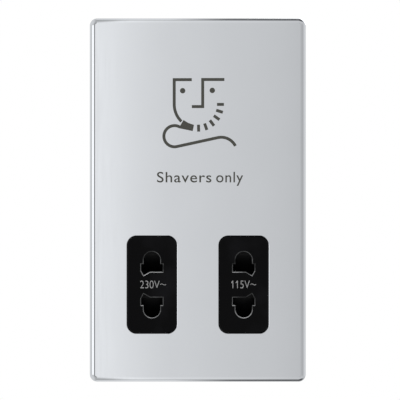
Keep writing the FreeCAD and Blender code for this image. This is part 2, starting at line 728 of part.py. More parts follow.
def make_terminals():
    """Terminal block on the step, with a brass pillar and its tag in each cell and slots between cells."""
    block = Piece("terminal_block", up="-terminal_drop")
    block.add(FRONT, "step_depth", "block_back", centred("block_length / 2", "block_height / 2"))
    block.bevel("block_edge", lies("Y", "block_back"))
    steps = [f"{step} * terminal_pitch" for step in (-1, 0, 1)]
    half_x = "terminal_width / 2 + terminal_gap"
    half_z = "terminal_height / 2 + terminal_gap"
    block.cut(FRONT, "step_depth", "cell_back", *[around(step, "0", half_x, half_z) for step in steps])
    block.cut(FRONT, "cell_back", "block_back",
              *[circle(step, "0", "clamp_screw_head / 2 + terminal_gap") for step in steps])
    barriers = [around(f"{side} * terminal_pitch / 2", "0", "barrier_slot / 2", "block_height / 2")
                for side in (-1, 1)]
    block.cut(FRONT, "block_back - barrier_depth", "block_back", *barriers)
    wire_back = "step_depth + block_depth / 2 - block_wall"
    block.cut(TOP, "-block_height / 2", "-terminal_height / 2",
              *[circle(step, wire_back, "wire_hole / 2 + terminal_gap") for step in steps])
    pegs = [(f"{side} * block_peg_spacing / 2", "0") for side in (-1, 1)]
    block.add(FRONT, "inner_step - peg_head", "step_depth", *[square(*spot, "peg_size") for spot in pegs])
    for name, step in (("earth", -1), ("neutral", 0), ("live", 1)):
        across = f"{step} * terminal_pitch"
        pillar = Piece(f"terminal_{name}", across=across, up="-terminal_drop")
        pillar.add(FRONT, "step_depth + terminal_gap", "cell_back",
                   centred("terminal_width / 2", "terminal_height / 2"))
        pillar.add(FRONT, "tag_front", "step_depth + terminal_gap",
                   around("0", "tag_rise + tag_sheet / 2", "tag_width / 2", "tag_sheet / 2"))
        pillar.cut(TOP, "-terminal_height / 2", "terminal_height / 2",
                   circle("0", wire_back, "wire_hole / 2"))
        pillar.cut(FRONT, wire_back, "cell_back", circle("0", "0", "clamp_screw / 2"))


def make_earth_spring():
    """Bowed strip in a recess of the frame that presses on the back of the plate."""
    spring = Piece("earth_spring", across="-earth_across", up="earth_rise")
    half = "earth_length / 2"
    top = "earth_sheet - plate_inside"
    base = "-(earth_floor)"
    spring.add(SIDE, "-earth_width / 2", "earth_width / 2", [
        ("earth_tail", f"-({half})"),
        ("earth_tail", f"earth_sheet - {half}"),
        (base, f"earth_sheet - {half}"),
        (base, f"-({half}) / 2"),
        (top, f"-({half}) / 4"),
        (top, f"{half} / 4"),
        (base, f"{half} / 2"),
        (base, half),
        (f"{base} - earth_sheet", half),
        (f"{base} - earth_sheet", f"{half} / 2"),
        ("-plate_inside", f"{half} / 4"),
        ("-plate_inside", f"-({half}) / 4"),
        (f"{base} - earth_sheet", f"-({half}) / 2"),
        (f"{base} - earth_sheet", f"-({half})"),
    ])


def lead_route(spots):
    """A lead's middle line: its points joined by tangent bends in short flats."""
    bend = amount("lead_bend")
    route = [spots[0]]
    for before, corner, after in zip(spots, spots[1:], spots[2:]):
        inward = (corner - before).normalize()
        outward = (after - corner).normalize()
        angle = inward.getAngle(outward)
        axis = inward.cross(outward).normalize()
        start = corner - inward * bend * math.tan(angle / 2)
        centre = start + axis.cross(inward) * bend
        for flat in range(BEND_FLATS + 1):
            turn = FreeCAD.Rotation(axis, math.degrees(angle) * flat / BEND_FLATS)
            route.append(centre + turn.multVec(start - centre))
    return route + [spots[-1]]


def make_lead(label, *points):
    """Insulated wire of many-sided section, swept along its route with mitred corners."""
    route = lead_route([Vector(*[amount(place) for place in point]) for point in points])
    upright = FreeCAD.Rotation(Vector(0, 0, 1), route[1] - route[0])
    spoke = Vector(amount("lead_diameter / 2"), 0, 0)
    turns = [FreeCAD.Rotation(Vector(0, 0, 1), 360 * side / LEAD_SIDES) for side in range(LEAD_SIDES + 1)]
    section = Part.makePolygon([route[0] + upright.multVec(turn.multVec(spoke)) for turn in turns])
    tube = Part.makePolygon(route).makePipeShell([section], True, False, MITRED)
    if len(tube.Solids) != 1:
        raise RuntimeError(f"{label}: the runs do not join")
    feature = doc.addObject("Part::Feature", label)
    feature.Label = label
    feature.Shape = tube.Solids[0]
    nodes.append(feature)


def make_leads():
    """Wiring between the terminals, the transformer, the contacts and the earth spring."""
    tag_back = "tag_front + lead_diameter"
    tag_top = "tag_rise + tag_sheet - terminal_drop"
    leaf_back = "leaf_end - lead_diameter"
    leaf_top = "leaf_high - outlet_drop"
    cutout_x = "-(bobbin_half) / 2"
    cutout_middle = "core_back - winding_y - cutout_thickness / 2"
    make_lead("lead_live",
              ("terminal_pitch", tag_back, tag_top),
              ("terminal_pitch", tag_back, "core_foot - drop_live"),
              (cutout_x, "core_front - lead_room", "core_foot - drop_live"),
              (cutout_x, cutout_middle, "core_foot"),
              (cutout_x, cutout_middle, "core_rise - cutout_length / 2"))
    neutral_x = "-tap_neutral * tap_span"
    make_lead("lead_neutral",
              (neutral_x, "tap_back", "tap_level"),
              (neutral_x, "tap_back", "core_foot - drop_neutral"),
              ("0", tag_back, "core_foot - drop_neutral"),
              ("0", tag_back, tag_top))
    common_x = "tap_common * tap_span"
    make_lead("lead_common",
              (common_x, "tap_back", "tap_level"),
              (common_x, "tap_back", "core_foot - drop_low"),
              ("terminal_pitch / 2", leaf_back, "core_foot - drop_low"),
              ("terminal_pitch / 2", leaf_back, "-outlet_drop - leaf_low"))
    right_x = "tap_right * tap_span"
    make_lead("lead_115v",
              (right_x, "tap_back", "tap_level"),
              (right_x, "tap_back", "core_foot - drop_high"),
              ("outlet_x", leaf_back, "core_foot - drop_low"),
              ("outlet_x", leaf_back, leaf_top))
    left_x = "tap_left * tap_span"
    make_lead("lead_230v",
              (left_x, "tap_back", "tap_level"),
              (left_x, "tap_back", "core_foot - drop_lowest"),
              ("-outlet_x", "tap_back", "core_foot - drop_lowest"),
              ("-outlet_x", leaf_back, "core_foot - drop_lowest"),
              ("-outlet_x", leaf_back, leaf_top))
    make_lead("lead_earth",
              ("-terminal_pitch", tag_back, tag_top),
              ("-terminal_pitch", tag_back, "core_foot - drop_low"),
              ("-earth_across", "earth_tail - lead_diameter", "core_foot - drop_high"),
              ("-earth_across", "earth_tail - lead_diameter", "earth_rise - earth_length / 2"))


def main():
    make_front_plate()
    make_mounting_frame()
    make_socket_insert()
    for name, side in (("230v", -1), ("115v", 1)):
        make_shutter(name, side)
        make_shutter_spring(name, side)
    make_contact_carrier()
    make_contacts()
    make_core()
    make_windings()
    make_rear_housing()
    make_terminals()
    make_earth_spring()
    make_leads()
    doc.recompute()
    for item in doc.Objects:
        if "Invalid" in item.State or "Error" in item.State:
            raise RuntimeError(f"{item.Name} ({item.Label}) did not build")
    for node in nodes:
        if node.Shape.isNull() or not node.Shape.isValid():
            raise RuntimeError(f"{node.Label} has no valid shape")
    os.makedirs("parts", exist_ok=True)
    for node in nodes:
        node.Shape.exportStep(os.path.join("parts", f"{node.Label}.step"))


main()
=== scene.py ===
"""Looks of a dual-voltage shaver socket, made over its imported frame.

Metres, in the frame's own axes: X to the right, Y back into the wall and Z up.
"""
import json
import math

import bmesh
import bpy
from mathutils import Matrix, Vector


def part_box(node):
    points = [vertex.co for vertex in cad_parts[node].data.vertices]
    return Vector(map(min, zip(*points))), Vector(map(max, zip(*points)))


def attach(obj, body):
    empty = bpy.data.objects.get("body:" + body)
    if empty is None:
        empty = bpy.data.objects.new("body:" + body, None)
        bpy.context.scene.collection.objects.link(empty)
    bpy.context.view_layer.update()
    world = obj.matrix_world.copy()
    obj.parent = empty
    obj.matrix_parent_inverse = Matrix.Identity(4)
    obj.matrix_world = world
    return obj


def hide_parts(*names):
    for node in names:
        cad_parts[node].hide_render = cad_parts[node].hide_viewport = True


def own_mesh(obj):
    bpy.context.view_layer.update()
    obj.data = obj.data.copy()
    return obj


bl_info = {
    "name": "Shaver Socket",
    "version": (1, 0, 0),
    "blender": (4, 5, 0),
    "location": "3D View > Sidebar > Shaver Socket",
    "description": "Finishes, markings, fasteners, windings and stage of a dual-voltage shaver socket",
    "category": "Object",
}

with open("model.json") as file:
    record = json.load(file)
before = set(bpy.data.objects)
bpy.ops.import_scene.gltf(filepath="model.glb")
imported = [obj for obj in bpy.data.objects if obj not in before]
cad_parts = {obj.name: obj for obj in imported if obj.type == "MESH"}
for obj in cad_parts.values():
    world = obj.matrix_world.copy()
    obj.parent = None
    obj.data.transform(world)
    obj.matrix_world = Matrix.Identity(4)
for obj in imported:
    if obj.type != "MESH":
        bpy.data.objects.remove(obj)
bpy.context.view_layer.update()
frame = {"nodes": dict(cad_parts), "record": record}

MM = 0.001
DEGREE = math.pi / 180
ROOT = "socket"
OUTLETS = ("230v", "115v")
PLATE_LOW, PLATE_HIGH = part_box("front_plate")
PLATE_FACE = PLATE_LOW.y
OUTLET_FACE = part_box("socket_insert")[0].y
HOUSING_LOW, HOUSING_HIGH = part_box("rear_housing")
CORNERS = (-1, -1), (1, -1), (1, 1), (-1, 1)

# Sockets of the colour mix node, and the period of the wave texture at a scale of 1
MIX_FACTOR, MIX_FIRST, MIX_SECOND, MIX_COLOUR = 0, 6, 7, 2
WAVE_PERIOD = math.tau / 20

# Distances under which points are one: in print, in solid pieces and in a font's own units
TIGHT, CLOSE, GLYPH_CLOSE = 1e-7, 1e-6, 1e-5

# Angles above which a piece's faces meet in a sharp edge
FINE_CREASE, SCREW_CREASE, SPRING_CREASE = 15 * DEGREE, 35 * DEGREE, 40 * DEGREE
WIRE_CREASE, LEAD_CREASE = 60 * DEGREE, 70 * DEGREE

# Angles that tell a flat face, a flat join, a lead's cut end and a window's rim
FLAT_TURN, JOIN_TURN, END_TURN, RIM_TURN = DEGREE, 2 * DEGREE, 75 * DEGREE, 80 * DEGREE

# Slant of the bevels round the pin apertures that get the painted highlight, and how far they reach from an
# outlet's middle
BEVEL_SLANT, BEVEL_SPREAD = math.sqrt(0.5), 0.05
APERTURE_REACH = 6 * MM, 15 * MM

# Steps of a ridge, a bend of print, a spring's fold, a turned form, a turn of thread and the floor
RIDGE_STEPS, BEND_STEPS, FOLD_STEPS, SPIN_STEPS, THREAD_STEPS, FLOOR_STEPS = 4, 6, 5, 32, 16, 96
BEND_TURN = 4 * DEGREE

# Half depth of a letter in a font's own units, and drop of a terminal letter in shares of its height
GLYPH_HALF, LETTER_DROP = 0.5, 1.5

# Folded sheet of a return spring, and half width of a thread's foot in shares of its pitch
SPRING_SHEET, SPRING_BEND = 0.4 * MM, 0.8 * MM
THREAD_HALF = 0.3

# Share of an edge's length that has to lie along an axis, and tone of the secondary winding
NEARLY, SECONDARY_TONE = 0.99, 0.75

# Lamps: name, place, width and height in metres, watts, and whether polished metal mirrors them
LAMPS = (("left_softbox", (-0.77, -0.83, 0.1), (0.76, 1.1), 4.2, False),
         ("top_softbox", (-0.1, 0.15, 1.0), (0.8, 0.4), 4.0, False),
         ("right_fill", (1.0, -0.1, 0.25), (0.4, 0.9), 1.6, False),
         ("rear_softbox", (0.5, 1.0, 0.6), (0.8, 0.8), 4.0, True))

# What polished metal mirrors: places and levels from -1 at the far left to 1 at the far right, then the
# dark band above and below on the right, the bright strip on the left and the room behind
ROOM_STOPS = ((-1, 0.72), (-0.5, 0.62), (-0.33, 0.36), (-0.064, 0.32), (-0.051, 1.06), (-0.044, 0.99),
              (-0.032, 0.865), (-0.016, 0.78), (0, 0.75), (0.01, 0.72), (0.025, 0.697), (0.034, 0.678),
              (0.042, 0.655), (0.046, 0.63), (0.06, 0.56), (0.88, 0.5), (0.96, 0.76), (1, 0.76))
DARK_BAND = 0.08, 0.08, 0.085, 1
BAND_SLOPE = 0.35
STRIP_LEVEL, STRIP_MIDDLE, STRIP_REACH = 1.4, -0.66, 0.22
REAR_LEVEL, REAR_STEEP_LEVEL = 0.76, 0.35


def at(across, up):
    """A place on the plate, in millimetres from its middle."""
    return Vector((across * MM, up * MM))


# The standard shaver sign: ends of its strokes, middles, radii and turns
BROW_LEFT, NOSE_TOP, NOSE_LENGTH = at(-9.59, 48.92), at(1.99, 48.98), 11.01 * MM
INNER_END, BROW_RIGHT_END = 2.44 * MM, 10.81 * MM
EYES, EYE_RADIUS = (at(-6.16, 44.43), at(5.89, 44.55)), 1.1 * MM
CHIN, CHIN_RADIUS, CHIN_SWEEP = at(0.06, 38.86), 9.65 * MM, 46 * DEGREE
DASHES, DASH_STEP, DASH_LENGTH, CHEEK_RADIUS = 6, 17.7 * DEGREE, 2.83 * MM, 9.15 * MM
SHAVER_HEAD = at(-5.81, 32.52), at(-3.79, 31.3), at(-1.54, 30.53), at(-2.07, 28.01)
FLEX_LOOP, FLEX_RADIUS, FLEX_START = at(-9.47, 25.93), 4.31 * MM, 62 * DEGREE
FLEX_RISE, FLEX_STRAIGHT, FLEX_END_RADIUS, FLEX_END_TURN = 12.3 * DEGREE, 17.1 * MM, 6.42 * MM, 75.8 * DEGREE


def linear(*rgb):
    """A screen colour of 0 to 255 as the linear colour that a shader takes."""
    return tuple(((c / 255 + 0.055) / 1.055) ** 2.4 if c > 10 else c / 255 / 12.92 for c in rgb)


def length(label, text, millimetres):
    return bpy.props.FloatProperty(name=label, description=text, default=millimetres * MM, min=0,
                                   unit="LENGTH", precision=5)


def pair(label, text, first, second):
    return bpy.props.FloatVectorProperty(name=label, description=text, size=2, unit="LENGTH",
                                         default=(first * MM, second * MM), subtype="XYZ", precision=5)


def count(label, text, number):
    return bpy.props.IntProperty(name=label, description=text, default=number, min=1)


def share(label, text, value):
    return bpy.props.FloatProperty(name=label, description=text, default=value, min=0, max=1,
                                   subtype="FACTOR")


def ratio(label, text, value):
    return bpy.props.FloatProperty(name=label, description=text, default=value)


def colour(label, text, *rgb):
    return bpy.props.FloatVectorProperty(name=label, description=text, size=4, min=0, max=1,
                                         default=(*linear(*rgb), 1), subtype="COLOR")


def outlet_centre(name):
    """Middle of an outlet, across and up, from the shutter that rests behind it."""
    low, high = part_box(f"shutter_{name}")
    return (low.x + high.x) / 2, (low.z + high.z) / 2


class FinishSettings(bpy.types.PropertyGroup):
    chrome: colour("Chrome", "Plating of the front plate", 229, 232, 236)
    chrome_roughness: share("Chrome roughness", "Blur of the plate's reflections", 0.045)
    outlet_black: colour("Outlet black", "Outlet faces and shutters", 5, 5, 6)
    # Painted highlight on the aperture bevels, varied at random like rubbed wear
    outlet_edge_highlight: colour("Outlet edge", "Rubbed bevels round the pin apertures", 192, 193, 194)
    frame_black: colour("Frame black", "Mounting frame", 22, 22, 23)
    housing_grey: colour("Housing grey", "Rear housing", 206, 206, 203)
    block_grey: colour("Block grey", "Terminal block", 148, 149, 150)
    letter_grey: colour("Letter grey", "Terminal letters, paler than their block", 214, 214, 212)
    carrier_grey: colour("Carrier grey", "Contact carrier", 89, 90, 92)
    bobbin: colour("Bobbin", "Nylon bobbin", 222, 216, 198)
    brass: colour("Brass", "Contacts and terminal pillars", 214, 180, 104)
    bronze: colour("Bronze", "Earth spring", 196, 142, 92)
    steel: colour("Steel", "Return springs and thermal cut-out", 196, 198, 200)
    zinc: colour("Zinc", "Plated clamp and screws", 190, 194, 198)
    lamination: colour("Lamination", "Varnished core sheets", 92, 94, 98)
    copper: colour("Copper", "Enamelled winding wire", 190, 98, 48)


class PlateSettings(bpy.types.PropertyGroup):
    corner: length("Corner", "Corner radius of the outline", 3)
    roll: length("Roll", "Radius of the rolled edge", 2.15)
    sheet: length("Sheet", "Thickness of the pressed sheet", 1)
    flats: count("Flats", "Flats in each rounded edge", 12)
    border: length("Border", "Flat strip of the face beside the roll", 0.1)
    window: pair("Window", "Width and height of an outlet's window", 20.4, 39.9)
    window_corner: length("Window corner", "Corner radius of a window", 3.95)
    window_break: length("Window break", "Broken edge of a window", 0.2)


class MarkingSettings(bpy.types.PropertyGroup):
    dark_ink: colour("Dark ink", "Print on the metal plate", 74, 74, 69)
    light_ink: colour("Light ink", "Print on the black outlet faces", 150, 150, 150)
    film: length("Film", "Thickness of the printed ink", 0.02)
    stroke: length("Stroke", "Line width of the sign", 1.22)
    word_widths: pair("Word widths", "Widths of the use marking's two words", 22.15, 10.97)
    first_word: pair("First word", "Middle of the first word and its baseline", -5.53, 7.2)
    second_word: pair("Second word", "Middle of the second word and its baseline", 12.94, 7.2)
    words_rise: length("Words rise", "Height of its tall letters", 4.25)
    words_weight: ratio("Words weight", "Extra thickness of its strokes, in shares of its size", 0.006)
    words_gap: ratio("Words gap", "Spacing of its letters", 1.08)
    volts_widths: pair("Voltage widths", "Widths of the left and right figures with their unit", 7.95, 7.5)
    volts_rise: length("Voltage rise", "Height of its figures", 3.15)
    volts_drop: length("Voltage drop", "Baseline below the outlet's middle", 1.5)
    volts_start: length("Voltage start", "Left end of a voltage, left of the outlet's middle", 4.8)
    volts_shift: length("Voltage shift", "Shift of the right outlet's marking to the left", 0.25)
    volts_weight: ratio("Voltage weight", "Extra thickness of its strokes, in shares of its size", -0.01)
    wave_width: length("Wave width", "Width of the alternating current sign", 2.45)
    wave_weight: ratio("Wave weight", "Extra thickness of that sign, in shares of its size", -0.018)
    wave_gap: length("Wave gap", "Gap between the unit and that sign", 0.2)
    wave_rise: length("Wave rise", "Height of that sign's top above its own baseline", 1.9)
    wave_lift: length("Wave lift", "Height of that baseline above the figures' baseline", 0.05)
    letter_rise: length("Terminal letter rise", "Height of the moulded terminal letters", 2.4)
    letter_relief: length("Terminal letter relief", "How far those letters stand proud", 0.5)


class FastenerSettings(bpy.types.PropertyGroup):
    head: length("Head", "Diameter of a housing screw's head", 3.8)
    head_height: length("Head height", "Height of a housing screw's head", 1.6)
    shank: length("Shank", "Core diameter of a housing screw", 1.7)
    thread: length("Thread", "Outer diameter of a housing screw's thread", 2.2)
    pitch: length("Pitch", "Pitch of the self-tapping thread", 0.9)
    seat: length("Seat", "Depth of the housing screws' seat behind the wall line", 9)
    reach: length("Reach", "Length of a housing screw under its head", 9)
    inset: length("Inset", "Housing screws' distance inside the housing's sides", 4.8)
    clamp_head: length("Clamp head", "Diameter of a terminal screw's head", 5.4)
    clamp_height: length("Clamp height", "Height of a terminal screw's head", 1.5)
    clamp_shank: length("Clamp shank", "Diameter of a terminal screw", 2.9)
    clamp_reach: length("Clamp reach", "Length of a terminal screw under its head", 4)


class InnerSettings(bpy.types.PropertyGroup):
    sheet: length("Sheet", "Thickness of a core sheet", 0.5)
    sheet_groove: length("Sheet groove", "Depth of the line between two core sheets", 0.04)
    primary_wire: length("Primary wire", "Width of a turn of the primary winding", 0.5)
    secondary_wire: length("Secondary wire", "Width of a turn of the secondary winding", 0.8)
    wire_groove: share("Wire groove", "Depth between two turns, as a share of a turn's width", 0.25)
    lead_live: colour("Live lead", "Insulation of the live lead", 112, 66, 38)
    lead_neutral: colour("Neutral lead", "Insulation of the neutral lead", 38, 84, 168)
    lead_earth: colour("Earth lead", "Insulation of the earth lead", 72, 136, 48)
    earth_stripe: colour("Earth stripe", "Stripes on the earth lead", 214, 188, 44)
    stripe_pitch: length("Stripe pitch", "From one stripe of the earth lead to the next", 5)
    lead_common: colour("Common lead", "Insulation of the lead to the shared contact", 24, 24, 26)
    lead_115v: colour("Right lead", "Insulation of the lead to the right outlet", 214, 178, 36)
    lead_230v: colour("Left lead", "Insulation of the lead to the left outlet", 182, 30, 30)
    lead_swell: length("Lead swell", "How far a lead is drawn out before it is rounded", 0.14)


class StageSettings(bpy.types.PropertyGroup):
    lens: bpy.props.FloatProperty(name="Lens", description="Focal length of the long lens",
                                  default=200, min=20, subtype="DISTANCE_CAMERA")
    picture: length("Picture", "Width of the view at the plate", 162.6)
    middle: pair("Middle", "Middle of the picture, from the plate's middle", 0.89, 0.0)
    floor_drop: length("Floor drop", "Depth of the floor below the plate's middle", 160)
    floor_radius: length("Floor radius", "Radius of the floor", 850)
    floor_pale: colour("Floor", "Pale floor", 244, 244, 244)
    room_light: share("Room light", "Even light from all round", 0.62)


# Shader helpers


def add_node(tree, kind, inputs=None, **settings):
    """Add a shader node; an input is a number, a colour or another node's output."""
    made = tree.nodes.new("ShaderNode" + kind)
    for key, value in settings.items():
        setattr(made, key, value)
    for key, value in (inputs or {}).items():
        if isinstance(value, bpy.types.NodeSocket):
            tree.links.new(value, made.inputs[key])
        else:
            made.inputs[key].default_value = value
    return made


def new_finish(name, **sockets):
    """A material whose even values sit on the shader itself, and its node tree."""
    material = bpy.data.materials.new(name)
    material.use_nodes = True
    shader = material.node_tree.nodes["Principled BSDF"]
    for key, value in sockets.items():
        shader.inputs[key.replace("_", " ")].default_value = value
    return material, material.node_tree


def drive(tree, socket, output):
    """Lead a node's output into one of the shader's sockets."""
    tree.links.new(output, tree.nodes["Principled BSDF"].inputs[socket])


def surface_point(tree, stretch=(1, 1, 1)):
    """Object coordinates, stretched where a pattern runs one way."""
    point = add_node(tree, "TexCoord").outputs["Object"]
    return add_node(tree, "Mapping", {"Vector": point, "Scale": stretch}).outputs["Vector"]


def mottle(tree, scale, detail=3.0, stretch=(1, 1, 1)):
    inputs = {"Vector": surface_point(tree, stretch), "Scale": scale, "Detail": detail}
    return add_node(tree, "TexNoise", inputs).outputs["Fac"]


def spread(tree, value, low, high, start=0.3, end=0.7):
    inputs = {"Value": value, "From Min": start, "From Max": end, "To Min": low, "To Max": high}
    return add_node(tree, "MapRange", inputs).outputs["Result"]


def math_node(tree, operation, *values):
    return add_node(tree, "Math", dict(enumerate(values)), operation=operation).outputs[0]


def shades(tree, factor, first, second):
    inputs = {MIX_FACTOR: factor, MIX_FIRST: first, MIX_SECOND: second}
    return add_node(tree, "Mix", inputs, data_type="RGBA").outputs[MIX_COLOUR]


def relief(tree, height, depth, strength):
    inputs = {"Height": height, "Distance": depth, "Strength": strength}
    return add_node(tree, "Bump", inputs).outputs["Normal"]


def tone(base, factor):
    return (base[0] * factor, base[1] * factor, base[2] * factor, 1)


def grey(level):
    return (level, level, level, 1)


def plain_colour(tree):
    """The output that the shader's colour comes from so far."""
    return tree.nodes["Principled BSDF"].inputs["Base Color"].links[0].from_socket


# Finishes


def polished_chrome(name, base, roughness):
    """Bright plating with faint polishing haze and the slight waviness of a pressed sheet."""
    material, tree = new_finish(name, Metallic=1.0)
    haze = mottle(tree, scale=60, detail=4)
    drive(tree, "Base Color", shades(tree, spread(tree, haze, 0, 1), tone(base, 0.985), base))
    lines = mottle(tree, scale=900, detail=2, stretch=(1, 1, 0.05))
    drive(tree, "Roughness", spread(tree, lines, roughness * 0.8, roughness * 1.3))
    waves = mottle(tree, scale=25, detail=1)
    drive(tree, "Normal", relief(tree, waves, depth=0.01 * MM, strength=0.2))
    return material


def moulded(name, base, roughness=0.5, grain=1800, depth=0.02 * MM, specular=0.5):
    """Moulded plastic with a spark-eroded grain and slightly uneven colour and gloss."""
    material, tree = new_finish(name, Specular_IOR_Level=specular)
    cloud = spread(tree, mottle(tree, scale=500, detail=5), 0, 1)
    drive(tree, "Base Color", shades(tree, cloud, tone(base, 0.98), tone(base, 1.015)))
    sheen = mottle(tree, scale=140, detail=5)
    drive(tree, "Roughness", spread(tree, sheen, roughness * 0.94, roughness * 1.06))
    drive(tree, "Normal", relief(tree, mottle(tree, grain, detail=2), depth, strength=0.6))
    return material


def gloss_with_painted_bevel_highlight(name, base, edge):
    """Gloss black moulding whose aperture bevels get a painted highlight, paler most where they face up and
    varied at random like rubbed wear.
    """
    material = moulded(name, base, roughness=0.2, grain=700, depth=0.004 * MM, specular=0.07)
    tree = material.node_tree
    point = add_node(tree, "SeparateXYZ", {0: surface_point(tree)}).outputs
    facing = add_node(tree, "SeparateXYZ", {0: add_node(tree, "NewGeometry").outputs["True Normal"]}).outputs
    aside = math_node(tree, "ABSOLUTE", point["X"])
    across, up = outlet_centre(OUTLETS[1])
    beside = math_node(tree, "COMPARE", aside, across, APERTURE_REACH[0])
    level = math_node(tree, "COMPARE", point["Z"], up, APERTURE_REACH[1])
    slant = math_node(tree, "COMPARE", facing["Y"], -BEVEL_SLANT, BEVEL_SPREAD)
    # Painted highlight: the bevels are painted paler most where they face up, as if lit from above; a random
    # factor varies it like rubbed wear
    bevel_highlight_and_wear = spread(tree, facing["Z"], 0.16, 0.9, start=-0.1, end=0.6)
    for part in (beside, level, slant, spread(tree, mottle(tree, scale=260), 0.15, 1.1)):
        bevel_highlight_and_wear = math_node(tree, "MULTIPLY", bevel_highlight_and_wear, part)
    # Paler random patches mixed into the black face colour
    pale_patch = spread(tree, mottle(tree, scale=45), 0, 1, start=0.48, end=0.75)
    patched = shades(tree, pale_patch, plain_colour(tree), tone(base, 5))
    drive(tree, "Base Color", shades(tree, bevel_highlight_and_wear, patched, edge))
    return material


def rolled_metal(name, base, roughness, stretch=(1, 1, 1)):
    """Rolled strip or plated metal with drawing lines and light tarnish."""
    material, tree = new_finish(name, Metallic=1.0)
    cloud = spread(tree, mottle(tree, scale=220, detail=4), 0, 1)
    drive(tree, "Base Color", shades(tree, cloud, tone(base, 0.8), base))
    lines = mottle(tree, scale=1600, detail=2, stretch=stretch)
    drive(tree, "Roughness", spread(tree, lines, roughness * 0.7, roughness * 1.4))
    drive(tree, "Normal", relief(tree, lines, depth=0.01 * MM, strength=0.3))
    return material


def banded(name, base, pitch, axis, metallic, roughness):
    """Stacked sheets or wound turns: fine bands across an axis."""
    material, tree = new_finish(name, Metallic=metallic)
    inputs = {"Vector": surface_point(tree), "Scale": WAVE_PERIOD / pitch, "Distortion": 0.2}
    bands = add_node(tree, "TexWave", inputs, bands_direction=axis).outputs["Fac"]
    ridges = spread(tree, bands, 0, 1, start=0.1, end=0.6)
    drive(tree, "Base Color", shades(tree, ridges, tone(base, 0.45), base))
    drive(tree, "Roughness", spread(tree, mottle(tree, scale=300), roughness * 0.8, roughness * 1.3))
    drive(tree, "Normal", relief(tree, bands, depth=0.1 * MM, strength=0.7))
    return material


def insulation(name, base, stripe, pitch):
    """Soft PVC of an inner lead, in one colour or with stripes of another."""
    material = moulded(name, base, roughness=0.42, grain=2500, depth=0.01 * MM, specular=0.4)
    if stripe:
        tree = material.node_tree
        inputs = {"Vector": surface_point(tree), "Scale": WAVE_PERIOD / pitch}
        bands = add_node(tree, "TexWave", inputs, bands_direction="DIAGONAL").outputs["Fac"]
        bands = spread(tree, bands, 0, 1, start=0.48, end=0.52)
        drive(tree, "Base Color", shades(tree, bands, plain_colour(tree), stripe))
    return material


def printed_ink(name, base):
    """Screen-printed ink, matt, a little thin in places."""
    material, tree = new_finish(name, Specular_IOR_Level=0.25)
    cover = spread(tree, mottle(tree, scale=1500), 0, 1)
    drive(tree, "Base Color", shades(tree, cover, tone(base, 0.94), tone(base, 1.05)))
    drive(tree, "Roughness", spread(tree, mottle(tree, scale=800), 0.5, 0.65))
    return material


# Piece helpers


def make_piece(name, bm, slot, material, smooth=None):
    """Turn a bmesh into a piece that rides on the fixed body."""
    bmesh.ops.remove_doubles(bm, verts=bm.verts, dist=TIGHT)
    bmesh.ops.recalc_face_normals(bm, faces=bm.faces)
    mesh = bpy.data.meshes.new(name)
    bm.to_mesh(mesh)
    bm.free()
    mesh.materials.append(material)
    if smooth is not None:
        mesh.shade_smooth()
        mesh.set_sharp_from_angle(angle=smooth)
    piece = bpy.data.objects.new(name, mesh)
    bpy.context.scene.collection.objects.link(piece)
    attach(piece, ROOT)
    return piece


def finish_node(material, *nodes):
    for node in nodes:
        frame["nodes"][node].material_slots[0].material = material


def foremost(bm):
    """The face that lies furthest to the front."""
    return min(bm.faces, key=lambda f: f.calc_center_median().y)


def round_off(bm, parts, radius, flats, affect="EDGES"):
    bmesh.ops.bevel(bm, geom=parts, offset=radius, offset_type="OFFSET", segments=flats, profile=0.5,
                    affect=affect, material=-1)


def push(bm, made, vec):
    """Move the points that an operator made; returns them."""
    verts = [item for item in made["geom"] if isinstance(item, bmesh.types.BMVert)]
    bmesh.ops.translate(bm, verts=verts, vec=vec)
    return verts


def swept(bm, geom, centre, angle, steps, lift=0, closed=False):
    """Turn points and edges about a line along Y, with a lift at each step; returns where they end."""
    return bmesh.ops.spin(bm, geom=geom, cent=centre, axis=(0, 1, 0), dvec=(0, lift, 0), angle=angle,
                          steps=steps, use_merge=closed, use_duplicate=False)["geom_last"]


def merged_copy(node):
    """A CAD solid's mesh as a bmesh with its triangles joined at their corners."""
    bm = bmesh.new()
    bm.from_mesh(frame["nodes"][node].data)
    bmesh.ops.remove_doubles(bm, verts=bm.verts, dist=CLOSE)
    return bm


def replace_node(node, name, bm, material, smooth):
    """A piece that stands for a CAD node and keeps its form; the node is hidden."""
    slots = {part["node"]: part["material_slot"] for part in frame["record"]["subparts"]}
    piece = make_piece(name, bm, slots[node], material, smooth=smooth)
    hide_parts(node)
    return piece


def ridged(node, axis, pitch, depth):
    """Copy of a CAD solid with a groove between each two sheets or turns along an axis."""
    bm = merged_copy(node)
    axis = "XYZ".index(axis)
    bmesh.ops.dissolve_limit(bm, angle_limit=FLAT_TURN, verts=bm.verts, edges=bm.edges)
    low, high = (corner[axis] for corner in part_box(node))
    along = [e for e in bm.edges if e.calc_length() > NEARLY * (high - low)
             and abs(e.verts[0].co[axis] - e.verts[1].co[axis]) > NEARLY * e.calc_length()]
    cuts = round((high - low) / pitch * RIDGE_STEPS) - 1
    bmesh.ops.subdivide_edges(bm, edges=along, cuts=cuts, use_grid_fill=True)
    bm.normal_update()
    for vert in bm.verts:
        level = vert.co[axis]
        if low + CLOSE < level < high - CLOSE:
            vert.co -= vert.normal * depth * (1 + math.cos(math.tau * level / pitch)) / 2
    return bm


def heading(angle):
    return Vector((math.cos(angle), math.sin(angle)))


def flat_point(spot, face=PLATE_FACE):
    return Vector((spot[0], face, spot[1]))


def flat_face(bm, corners):
    return bm.faces.new([bm.verts.new(flat_point(corner)) for corner in corners])


def flat_bar(bm, start, end, width):
    """A straight stroke from point to point; returns the edge at its end."""
    start, end = Vector(start), Vector(end)
    across = (end - start).orthogonal().normalized() * width / 2
    return flat_face(bm, [start + across, start - across, end - across, end + across]).edges[2]


